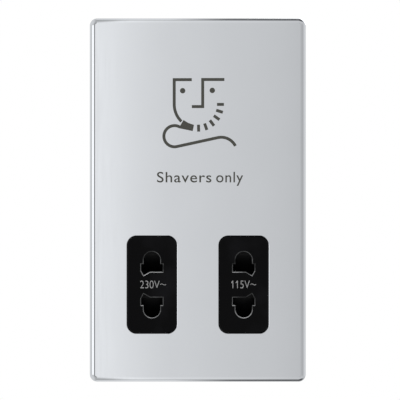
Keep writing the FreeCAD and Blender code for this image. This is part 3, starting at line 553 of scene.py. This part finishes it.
def flat_bend(bm, edge, centre, angle):
    """Carry a stroke on from its end edge, turning about a centre; returns the new end edge."""
    steps = max(BEND_STEPS, int(abs(angle) / BEND_TURN))
    made = swept(bm, [edge, *edge.verts], flat_point(centre), -angle, steps)
    return [item for item in made if isinstance(item, bmesh.types.BMEdge)][0]


def flat_run(bm, edge, direction, distance):
    """Carry a stroke straight on from its end edge; returns the new end edge."""
    made = bmesh.ops.extrude_edge_only(bm, edges=[edge])
    return bm.edges.get(push(bm, made, flat_point(direction, 0) * distance))


def thicken(bm, film):
    """Give flat print its thickness, towards the front."""
    bmesh.ops.remove_doubles(bm, verts=bm.verts, dist=TIGHT)
    push(bm, bmesh.ops.extrude_face_region(bm, geom=bm.faces[:], use_keep_orig=True), (0, -film, 0))


def islands(bm):
    """The letters' separate shells, each as a set of vertices."""
    left = set(bm.verts)
    while left:
        shell, edge = set(), {left.pop()}
        while edge:
            shell |= edge
            edge = {e.other_vert(v) for v in edge for e in v.link_edges} - shell
        left -= shell
        yield shell


def flag_ones(bm):
    """Give each bare stroke, under a third as wide as high, the flag of a figure one."""
    for shell in list(islands(bm)):
        left, right = min(v.co.x for v in shell), max(v.co.x for v in shell)
        low, top = min(v.co.y for v in shell), max(v.co.y for v in shell)
        rise = top - low
        if right - left > rise / 3:
            continue
        tip, foot, depth = left - 0.2 * rise, top - 0.22 * rise, 0.13 * rise
        corners = [(left, top), (tip, foot), (tip, foot - depth), (left, foot)]
        face = bm.faces.new([bm.verts.new((x, y, -GLYPH_HALF)) for x, y in corners])
        made = bmesh.ops.extrude_face_region(bm, geom=[face], use_keep_orig=True)
        push(bm, made, (0, 0, 2 * GLYPH_HALF))


def lettering(words, width, rise, spot, face, film, weight=0.0, gap=1.0, flags=False, back=False):
    """Plain letters as a bmesh: so wide, so high above the baseline, and standing on a face."""
    text = bpy.data.curves.new("letters", "FONT")
    text.body = words
    text.offset = weight
    text.space_character = gap
    text.extrude = GLYPH_HALF
    text.resolution_u = 6
    carrier = bpy.data.objects.new("letters", text)
    mesh = bpy.data.meshes.new_from_object(carrier)
    bm = bmesh.new()
    bm.from_mesh(mesh)
    bpy.data.objects.remove(carrier)
    bpy.data.curves.remove(text)
    bpy.data.meshes.remove(mesh)
    bmesh.ops.remove_doubles(bm, verts=bm.verts, dist=GLYPH_CLOSE)
    if flags:
        flag_ones(bm)
    left = min(v.co.x for v in bm.verts)
    right = max(v.co.x for v in bm.verts)
    top = max(v.co.y for v in bm.verts)
    across = width / (right - left) if width else rise / top
    bmesh.ops.translate(bm, verts=bm.verts, vec=(-(left + right) / 2, 0, 0))
    bmesh.ops.scale(bm, verts=bm.verts, vec=(across, rise / top, film))
    facing = Matrix.Rotation(math.pi / 2, 3, "X")
    if back:
        facing = Matrix.Rotation(math.pi, 3, "Z") @ facing
    bmesh.ops.rotate(bm, verts=bm.verts, cent=(0, 0, 0), matrix=facing)
    outwards = film / 2 if back else -film / 2
    bmesh.ops.translate(bm, verts=bm.verts, vec=flat_point(spot, face + outwards))
    return bm


def turned(bm, profile, spot):
    """Spin a profile of radius and depth pairs about a line along Y."""
    verts = [bm.verts.new((spot[0] + radius, depth, spot[1])) for radius, depth in profile]
    edges = [bm.edges.new(ends) for ends in zip(verts, verts[1:])]
    swept(bm, verts + edges, flat_point(spot, 0), math.tau, SPIN_STEPS, closed=True)
    bmesh.ops.remove_doubles(bm, verts=bm.verts, dist=CLOSE)


def threaded(bm, spot, start, end, core, crest, pitch):
    """A helical thread on a shank, of a small pointed section."""
    turns = abs(end - start) / pitch
    steps = int(turns * THREAD_STEPS)
    section = [(core, -pitch * THREAD_HALF), (crest, 0), (core, pitch * THREAD_HALF)]
    verts = [bm.verts.new((spot[0] + radius, start + lift, spot[1])) for radius, lift in section]
    edges = [bm.edges.new((verts[i - 1], verts[i])) for i in (1, 2, 0)]
    swept(bm, verts + edges, flat_point(spot, 0), math.tau * turns, steps, lift=(end - start) / steps)


def carve_slots(bm, spot, top, half_width, half_length, depth, crossed):
    """Sink a screwdriver slot, or a cross of two, into the faces at a head's top."""
    centre = flat_point(spot, top)
    ways = [(Vector((1, 0, 0)), Vector((0, 0, 1)))]
    if crossed:
        ways.append((ways[0][1], ways[0][0]))

    def crown():
        return [f for f in bm.faces if all(abs(v.co.y - top) < CLOSE for v in f.verts)
                and (f.calc_center_median() - centre).length < 2 * half_length]

    for across, along in ways:
        for way, reach in ((across, half_width), (along, half_length)):
            for sign in (-1, 1):
                faces = crown()
                parts = list({part for f in faces for part in (*f.verts, *f.edges)}) + faces
                bmesh.ops.bisect_plane(bm, geom=parts, plane_co=centre + way * sign * reach, plane_no=way)

    def sunk(face):
        offset = face.calc_center_median() - centre
        return any(abs(offset.dot(a)) < half_width and abs(offset.dot(b)) < half_length for a, b in ways)

    push(bm, bmesh.ops.extrude_face_region(bm, geom=[f for f in crown() if sunk(f)]), (0, -depth, 0))


# Operators


class SHAVER_OT_front_plate(bpy.types.Operator):
    """Press the front plate with its smooth rolled edge and windows, and polish it"""
    bl_idname = "shaver.front_plate"
    bl_label = "Front Plate"

    def execute(self, context):
        look = context.scene.shaver_finish
        plate = context.scene.shaver_plate
        bm = bmesh.new()
        middle = Matrix.Translation((PLATE_LOW + PLATE_HIGH) / 2)
        bmesh.ops.create_cube(bm, size=1, matrix=middle @ Matrix.Diagonal((*(PLATE_HIGH - PLATE_LOW), 1)))
        corners = [e for e in bm.edges if e.verts[0].co.y != e.verts[1].co.y]
        round_off(bm, corners, plate.corner, plate.flats)
        round_off(bm, foremost(bm).edges[:], plate.roll, plate.flats)
        back = max(bm.faces, key=lambda f: f.calc_center_median().y)
        bmesh.ops.delete(bm, geom=[back], context="FACES_ONLY")
        flat = foremost(bm)
        bmesh.ops.inset_region(bm, faces=[flat], thickness=plate.border, use_even_offset=True)
        outline = flat.edges[:]
        bmesh.ops.delete(bm, geom=[flat], context="FACES_ONLY")
        for name in OUTLETS:
            outline += self.window(bm, plate, outlet_centre(name))
        bmesh.ops.triangle_fill(bm, use_beauty=True, edges=outline, normal=(0, -1, 0))
        bmesh.ops.recalc_face_normals(bm, faces=bm.faces)
        bmesh.ops.solidify(bm, geom=bm.faces[:], thickness=plate.sheet)
        bm.normal_update()
        sharp = [e for e in bm.edges if e.calc_face_angle(0) > RIM_TURN
                 and all(abs(v.co.y - PLATE_FACE) < CLOSE for v in e.verts)]
        round_off(bm, sharp, plate.window_break, flats=2)
        chrome = polished_chrome("polished_chrome", look.chrome, look.chrome_roughness)
        replace_node("front_plate", "polished_plate", bm, chrome, FINE_CREASE)
        return {"FINISHED"}

    @staticmethod
    def window(bm, plate, centre):
        """Draw a window's rounded outline on the face and return its edges."""
        half = Vector(plate.window) / 2
        middle = Vector(centre)
        pane = flat_face(bm, [middle + half * Vector(way) for way in CORNERS])
        round_off(bm, pane.verts[:], plate.window_corner, plate.flats, "VERTICES")
        pane = foremost(bm)
        edges = pane.edges[:]
        bmesh.ops.delete(bm, geom=[pane], context="FACES_ONLY")
        return edges


class SHAVER_OT_outlets(bpy.types.Operator):
    """Give the outlet faces, the shutters and the frame their black mouldings"""
    bl_idname = "shaver.outlets"
    bl_label = "Outlets"

    def execute(self, context):
        look = context.scene.shaver_finish
        finish_node(gloss_with_painted_bevel_highlight("gloss_black", look.outlet_black, look.outlet_edge_highlight), "socket_insert")
        finish_node(moulded("satin_black", look.frame_black, grain=2600), "mounting_frame")
        black = moulded("shutter_black", look.outlet_black, roughness=0.45, grain=2000, depth=0.01 * MM,
                        specular=0.2)
        finish_node(black, *[f"shutter_{name}" for name in OUTLETS])
        return {"FINISHED"}


class SHAVER_OT_shaver_sign(bpy.types.Operator):
    """Print the standard shaver sign on the plate"""
    bl_idname = "shaver.shaver_sign"
    bl_label = "Shaver Sign"

    def execute(self, context):
        mark = context.scene.shaver_marking
        stroke, half = mark.stroke, mark.stroke / 2
        bm = bmesh.new()
        left_x, brow_z = BROW_LEFT
        flat_bar(bm, (left_x + half, brow_z), (-INNER_END, brow_z), stroke)
        cheek = flat_bar(bm, (left_x, brow_z + half), (left_x, CHIN.y), stroke)
        flat_bend(bm, cheek, CHIN, CHIN_SWEEP)
        nose_x, nose_z = NOSE_TOP
        foot_z = nose_z - NOSE_LENGTH
        flat_bar(bm, (nose_x, nose_z + half), (nose_x, foot_z - half), stroke)
        flat_bar(bm, (nose_x + half, nose_z), (BROW_RIGHT_END, nose_z), stroke)
        flat_bar(bm, (nose_x - half, foot_z), (-INNER_END, foot_z), stroke)
        for eye in EYES:
            upright = Matrix.Translation(flat_point(eye)) @ Matrix.Rotation(math.pi / 2, 4, "X")
            bmesh.ops.create_circle(bm, cap_ends=True, segments=SPIN_STEPS, radius=EYE_RADIUS, matrix=upright)
        for number in range(DASHES):
            ray = heading(-number * DASH_STEP)
            middle = CHIN + ray * (CHIN_RADIUS - (CHIN_RADIUS - CHEEK_RADIUS) * ray.x ** 2)
            half_dash = ray * DASH_LENGTH / 2
            flat_bar(bm, middle - half_dash, middle + half_dash, stroke)
        self.draw_shaver(bm, half)
        thicken(bm, mark.film)
        make_piece("print_shaver_sign", bm, None, printed_ink("dark_ink", mark.dark_ink))
        return {"FINISHED"}

    @staticmethod
    def draw_shaver(bm, half):
        """The shaver's head against the chin and the flex that trails from it."""
        ray = heading(FLEX_START)
        neck = [FLEX_LOOP + ray * (FLEX_RADIUS - half), FLEX_LOOP + ray * (FLEX_RADIUS + half)]
        head = flat_face(bm, [*neck, *SHAVER_HEAD])
        end = flat_bend(bm, head.edges[0], FLEX_LOOP, 270 * DEGREE + FLEX_RISE - FLEX_START)
        way = heading(FLEX_RISE)
        end = flat_run(bm, end, way, FLEX_STRAIGHT)
        middle = sum((v.co for v in end.verts), Vector()) / 2
        under = Vector((middle.x, middle.z)) + Vector((way.y, -way.x)) * FLEX_END_RADIUS
        flat_bend(bm, end, under, -FLEX_END_TURN)


class SHAVER_OT_markings(bpy.types.Operator):
    """Print the use marking on the plate and the voltage on each outlet face"""
    bl_idname = "shaver.markings"
    bl_label = "Markings"

    def execute(self, context):
        mark = context.scene.shaver_marking
        dark = printed_ink("words_ink", mark.dark_ink)
        words = ("first", "Shavers", mark.first_word), ("second", "only", mark.second_word)
        for (name, word, spot), width in zip(words, mark.word_widths):
            letters = lettering(word, width, mark.words_rise, spot, PLATE_FACE, mark.film, mark.words_weight,
                                mark.words_gap)
            make_piece(f"print_{name}_word", letters, None, dark)
        ink = printed_ink("light_ink", mark.light_ink)
        for name, shift, width in zip(OUTLETS, (0, mark.volts_shift), mark.volts_widths):
            across, up = outlet_centre(name)
            start, foot = across - shift - mark.volts_start, up - mark.volts_drop
            volts = lettering(name.upper(), width, mark.volts_rise, (start + width / 2, foot), OUTLET_FACE,
                              mark.film, mark.volts_weight, flags=True)
            make_piece(f"print_{name}", volts, None, ink)
            spot = (start + width + mark.wave_gap + mark.wave_width / 2, foot + mark.wave_lift)
            wave = lettering("~", mark.wave_width, mark.wave_rise, spot, OUTLET_FACE, mark.film,
                             mark.wave_weight)
            make_piece(f"print_{name}_wave", wave, None, ink)
        return {"FINISHED"}


class SHAVER_OT_return_springs(bpy.types.Operator):
    """Make the folded leaf springs above the shutters"""
    bl_idname = "shaver.return_springs"
    bl_label = "Return Springs"

    def execute(self, context):
        look = context.scene.shaver_finish
        steel = rolled_metal("spring_steel", look.steel, roughness=0.25, stretch=(0.05, 1, 1))
        for name in OUTLETS:
            self.make_spring(name, steel)
        return {"FINISHED"}

    @staticmethod
    def make_spring(name, steel):
        node = f"shutter_spring_{name}"
        low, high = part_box(node)
        half = SPRING_SHEET / 2
        bm = bmesh.new()
        line = [(low.x, low.z + half), (high.x - SPRING_SHEET, low.z + half), (low.x, high.z - SPRING_SHEET)]
        verts = [bm.verts.new((x, low.y, z)) for x, z in line]
        for ends in zip(verts, verts[1:]):
            bm.edges.new(ends)
        round_off(bm, [verts[1]], SPRING_BEND, FOLD_STEPS, "VERTICES")
        push(bm, bmesh.ops.extrude_edge_only(bm, edges=bm.edges[:]), (0, high.y - low.y, 0))
        bmesh.ops.recalc_face_normals(bm, faces=bm.faces)
        bmesh.ops.solidify(bm, geom=bm.faces[:], thickness=half)
        spring = make_piece(f"return_spring_{name}", bm, "spring_steel", steel, smooth=SPRING_CREASE)
        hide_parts(node)
        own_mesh(spring)


class SHAVER_OT_transformer(bpy.types.Operator):
    """Make the core's sheets and the windings' turns, and finish the bobbin, clamp and cut-out"""
    bl_idname = "shaver.transformer"
    bl_label = "Transformer"

    def execute(self, context):
        look = context.scene.shaver_finish
        inner = context.scene.shaver_inner
        sheets = banded("core_sheets", look.lamination, inner.sheet, "Y", metallic=0.7, roughness=0.45)
        for name in ("e", "i"):
            stack = ridged(f"core_{name}_stack", "Y", inner.sheet, inner.sheet_groove)
            replace_node(f"core_{name}_stack", f"core_{name}_sheets", stack, sheets, FINE_CREASE)
        for name, wire, copper in (("primary", inner.primary_wire, look.copper),
                                   ("secondary", inner.secondary_wire, tone(look.copper, SECONDARY_TONE))):
            turns = ridged(f"{name}_winding", "X", wire, wire * inner.wire_groove)
            enamel = banded(f"{name}_wire", copper, wire, "X", metallic=0.6, roughness=0.35)
            replace_node(f"{name}_winding", f"{name}_turns", turns, enamel, WIRE_CREASE)
        finish_node(rolled_metal("zinc_clamp", look.zinc, roughness=0.35), "core_clamp")
        finish_node(moulded("bobbin_nylon", look.bobbin), "bobbin")
        finish_node(rolled_metal("cutout_steel", look.steel, roughness=0.3), "thermal_cutout")
        return {"FINISHED"}


class SHAVER_OT_contacts(bpy.types.Operator):
    """Give the contacts, terminals, earth spring and their carriers their finishes"""
    bl_idname = "shaver.contacts"
    bl_label = "Contacts and Terminals"

    def execute(self, context):
        look = context.scene.shaver_finish
        brass = rolled_metal("brass", look.brass, roughness=0.3, stretch=(1, 0.08, 1))
        finish_node(brass, "contact_230v", "contact_115v", "contact_common",
                    "terminal_live", "terminal_neutral", "terminal_earth")
        bronze = rolled_metal("bronze", look.bronze, roughness=0.32, stretch=(1, 1, 0.08))
        finish_node(bronze, "earth_spring")
        finish_node(moulded("carrier_grey", look.carrier_grey), "contact_carrier")
        finish_node(moulded("block_grey", look.block_grey, roughness=0.45), "terminal_block")
        return {"FINISHED"}


class SHAVER_OT_leads(bpy.types.Operator):
    """Round the inner leads and give them their coloured insulation"""
    bl_idname = "shaver.leads"
    bl_label = "Inner Leads"

    def execute(self, context):
        inner = context.scene.shaver_inner
        for name in ("live", "neutral", "earth", "common", "115v", "230v"):
            stripe = inner.earth_stripe if name == "earth" else None
            base = getattr(inner, f"lead_{name}")
            finish = insulation(f"insulation_{name}", base, stripe, inner.stripe_pitch)
            self.round_lead(name, inner.lead_swell, finish)
        return {"FINISHED"}

    @staticmethod
    def round_lead(name, swell, finish):
        """A round copy of a many-sided lead, with its cut ends kept flat."""
        bm = merged_copy(f"lead_{name}")
        bmesh.ops.join_triangles(bm, faces=bm.faces[:], angle_face_threshold=JOIN_TURN,
                                 angle_shape_threshold=math.pi)
        bm.normal_update()
        crease = bm.edges.layers.float.new("crease_edge")
        for edge in bm.edges:
            if edge.calc_face_angle(0) > END_TURN:
                edge[crease] = 1
        for vert in bm.verts:
            vert.co += vert.normal * swell
        lead = replace_node(f"lead_{name}", f"insulated_lead_{name}", bm, finish, LEAD_CREASE)
        rounding = lead.modifiers.new("rounding", "SUBSURF")
        rounding.levels = rounding.render_levels = 2


class SHAVER_OT_housing(bpy.types.Operator):
    """Give the rear housing its moulded grain"""
    bl_idname = "shaver.housing"
    bl_label = "Rear Housing"

    def execute(self, context):
        look = context.scene.shaver_finish
        finish_node(moulded("housing_grey", look.housing_grey, grain=2200, depth=0.03 * MM), "rear_housing")
        return {"FINISHED"}


class SHAVER_OT_screws(bpy.types.Operator):
    """Make the housing screws and the terminal clamp screws"""
    bl_idname = "shaver.screws"
    bl_label = "Screws"

    def execute(self, context):
        fit = context.scene.shaver_fastener
        look = context.scene.shaver_finish
        zinc = rolled_metal("zinc_screw", look.zinc, roughness=0.3)
        for side, across in (("left", HOUSING_LOW.x + fit.inset), ("right", HOUSING_HIGH.x - fit.inset)):
            for end, up in (("lower", HOUSING_LOW.z + fit.inset), ("upper", HOUSING_HIGH.z - fit.inset)):
                self.housing_screw(fit, f"housing_screw_{end}_{side}", (across, up), zinc)
        for name in ("live", "neutral", "earth"):
            self.clamp_screw(fit, name, zinc)
        return {"FINISHED"}

    @staticmethod
    def housing_screw(fit, name, spot, zinc):
        bm = bmesh.new()
        head, core = fit.head / 2, fit.shank / 2
        top, tip = fit.seat + fit.head_height, fit.seat - fit.reach
        crown, brow, brow_drop = head * 0.75, head * 0.95, fit.head_height * 0.4
        turned(bm, [(0, top), (crown, top), (brow, top - brow_drop), (head, fit.seat), (core, fit.seat),
                    (core, tip + core), (0, tip)], spot)
        carve_slots(bm, spot, top, half_width=head * 0.14, half_length=crown * 0.8,
                    depth=fit.head_height * 0.5, crossed=True)
        threaded(bm, spot, fit.seat - fit.pitch, tip + core, core, fit.thread / 2, fit.pitch)
        make_piece(name, bm, "clamp_zinc", zinc, smooth=SCREW_CREASE)

    @staticmethod
    def clamp_screw(fit, name, zinc):
        low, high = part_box(f"terminal_{name}")
        spot = ((low.x + high.x) / 2, (low.z + high.z) / 2)
        bm = bmesh.new()
        head, core = fit.clamp_head / 2, fit.clamp_shank / 2
        top = high.y + fit.clamp_height
        edge, tip = fit.clamp_height * 0.15, high.y - fit.clamp_reach
        turned(bm, [(0, top), (head - edge, top), (head, top - edge), (head, high.y), (core, high.y),
                    (core, tip), (0, tip)], spot)
        carve_slots(bm, spot, top, half_width=head * 0.15, half_length=head * 1.2,
                    depth=fit.clamp_height * 0.6, crossed=False)
        make_piece(f"terminal_screw_{name}", bm, "clamp_zinc", zinc, smooth=SCREW_CREASE)


class SHAVER_OT_terminal_letters(bpy.types.Operator):
    """Mould the terminal letters on the back of the block"""
    bl_idname = "shaver.terminal_letters"
    bl_label = "Terminal Letters"

    def execute(self, context):
        mark = context.scene.shaver_marking
        pale = moulded("letter_grey", context.scene.shaver_finish.letter_grey)
        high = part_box("terminal_block")[1]
        for name, letter in (("live", "L"), ("neutral", "N"), ("earth", "E")):
            pillar_low, pillar_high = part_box(f"terminal_{name}")
            spot = ((pillar_low.x + pillar_high.x) / 2, high.z - LETTER_DROP * mark.letter_rise)
            bm = lettering(letter, 0, mark.letter_rise, spot, high.y, mark.letter_relief, back=True)
            make_piece(f"letter_{name}", bm, "block_grey", pale)
        return {"FINISHED"}


class SHAVER_OT_stage(bpy.types.Operator):
    """Set up the floor, lights, surroundings and camera"""
    bl_idname = "shaver.stage"
    bl_label = "Stage"

    def execute(self, context):
        stage = context.scene.shaver_stage
        context.scene.view_settings.view_transform = "Standard"
        self.make_camera(context, stage)
        self.make_floor(context, stage)
        self.make_room(context, stage)
        for lamp in LAMPS:
            self.make_lamp(context, *lamp)
        return {"FINISHED"}

    @staticmethod
    def make_camera(context, stage):
        lens = bpy.data.cameras.new("camera")
        lens.lens = stage.lens
        lens.clip_start, lens.clip_end = 0.01, 20
        camera = bpy.data.objects.new("camera", lens)
        distance = stage.lens * stage.picture / lens.sensor_width
        camera.location = (stage.middle[0], PLATE_FACE - distance, stage.middle[1])
        camera.rotation_euler = (math.pi / 2, 0, 0)
        context.scene.collection.objects.link(camera)
        context.scene.camera = camera

    @staticmethod
    def make_floor(context, stage):
        bm = bmesh.new()
        bmesh.ops.create_circle(bm, cap_ends=True, segments=FLOOR_STEPS, radius=stage.floor_radius)
        bmesh.ops.translate(bm, verts=bm.verts, vec=(0, 0, -stage.floor_drop))
        mesh = bpy.data.meshes.new("floor")
        bm.to_mesh(mesh)
        bm.free()
        mesh.materials.append(new_finish("floor", Base_Color=stage.floor_pale, Roughness=0.8)[0])
        floor = bpy.data.objects.new("floor", mesh)
        floor.visible_glossy = False
        context.scene.collection.objects.link(floor)

    @staticmethod
    def make_lamp(context, name, spot, size, power, mirrored):
        lamp = bpy.data.lights.new(name, "AREA")
        lamp.shape = "RECTANGLE"
        lamp.size, lamp.size_y = size
        lamp.energy = power
        holder = bpy.data.objects.new(name, lamp)
        holder.location = spot
        holder.rotation_euler = (-Vector(spot)).to_track_quat("-Z", "Y").to_euler()
        holder.visible_glossy = mirrored
        context.scene.collection.objects.link(holder)

    @staticmethod
    def make_room(context, stage):
        """White surroundings and even light; polished metal mirrors a soft room instead."""
        world = bpy.data.worlds.new("studio")
        world.use_nodes = True
        context.scene.world = world
        tree = world.node_tree
        ray = add_node(tree, "LightPath").outputs
        way = add_node(tree, "SeparateXYZ", {0: add_node(tree, "TexCoord").outputs["Generated"]}).outputs
        ramp = add_node(tree, "ValToRGB", {"Fac": spread(tree, way["X"], 0, 1, start=-1, end=1)})
        elements = ramp.color_ramp.elements
        for sideways, level in ROOM_STOPS[1:-1]:
            elements.new((sideways + 1) / 2)
        for element, (sideways, level) in zip(elements, ROOM_STOPS):
            element.position = (sideways + 1) / 2
            element.color = grey(level)
        height = math_node(tree, "ABSOLUTE", way["Z"])
        right = spread(tree, way["X"], 0, 1, start=-0.02, end=0.02)
        lift = spread(tree, height, 0, 0.25, start=0.1, end=0.5)
        front = shades(tree, lift, ramp.outputs["Color"], grey(1))
        left_band = spread(tree, way["Y"], 0.3, 0.85, start=-0.2, end=-0.05)
        band = shades(tree, right, left_band, DARK_BAND)
        rightward = math_node(tree, "MAXIMUM", way["X"], 0)
        tall = math_node(tree, "MULTIPLY_ADD", rightward, BAND_SLOPE, height)
        front = shades(tree, spread(tree, tall, 0, 1, start=0.9, end=1), front, band)
        strip = math_node(tree, "COMPARE", way["X"], STRIP_MIDDLE, STRIP_REACH)
        strip = math_node(tree, "MULTIPLY", strip, spread(tree, height, 1, 0, start=0.1, end=0.16))
        front = shades(tree, strip, front, grey(STRIP_LEVEL))
        steep = math_node(tree, "MULTIPLY", right, spread(tree, height, 0, 1, start=0.3, end=0.6))
        behind = shades(tree, steep, grey(REAR_LEVEL), grey(REAR_STEEP_LEVEL))
        seen = shades(tree, spread(tree, way["Y"], 0, 1, start=0.3, end=0.5), front, behind)
        even = shades(tree, ray["Is Glossy Ray"], grey(stage.room_light), seen)
        shown = math_node(tree, "MAXIMUM", ray["Is Camera Ray"], ray["Is Transmission Ray"])
        final = shades(tree, shown, even, grey(1))
        tree.links.new(final, tree.nodes["Background"].inputs["Color"])


class SHAVER_PT_socket(bpy.types.Panel):
    """Lists the steps that dress the shaver socket"""
    bl_idname = "SHAVER_PT_socket"
    bl_label = "Shaver Socket"
    bl_space_type = "VIEW_3D"
    bl_region_type = "UI"
    bl_category = "Shaver Socket"

    def draw(self, context):
        for step in STEPS:
            self.layout.operator(step.bl_idname)


SETTINGS = {
    "shaver_finish": FinishSettings,
    "shaver_plate": PlateSettings,
    "shaver_marking": MarkingSettings,
    "shaver_fastener": FastenerSettings,
    "shaver_inner": InnerSettings,
    "shaver_stage": StageSettings,
}
STEPS = (
    SHAVER_OT_stage,
    SHAVER_OT_front_plate,
    SHAVER_OT_outlets,
    SHAVER_OT_shaver_sign,
    SHAVER_OT_markings,
    SHAVER_OT_return_springs,
    SHAVER_OT_transformer,
    SHAVER_OT_contacts,
    SHAVER_OT_leads,
    SHAVER_OT_housing,
    SHAVER_OT_screws,
    SHAVER_OT_terminal_letters,
)
CLASSES = (*SETTINGS.values(), *STEPS, SHAVER_PT_socket)


def register():
    for item in CLASSES:
        bpy.utils.register_class(item)
    for name, group in SETTINGS.items():
        setattr(bpy.types.Scene, name, bpy.props.PointerProperty(type=group))


def unregister():
    for name in SETTINGS:
        delattr(bpy.types.Scene, name)
    for item in reversed(CLASSES):
        bpy.utils.unregister_class(item)


def main():
    register()
    for step in STEPS:
        family, action = step.bl_idname.split(".")
        getattr(getattr(bpy.ops, family), action)()


if __name__ == "__main__":
    main()
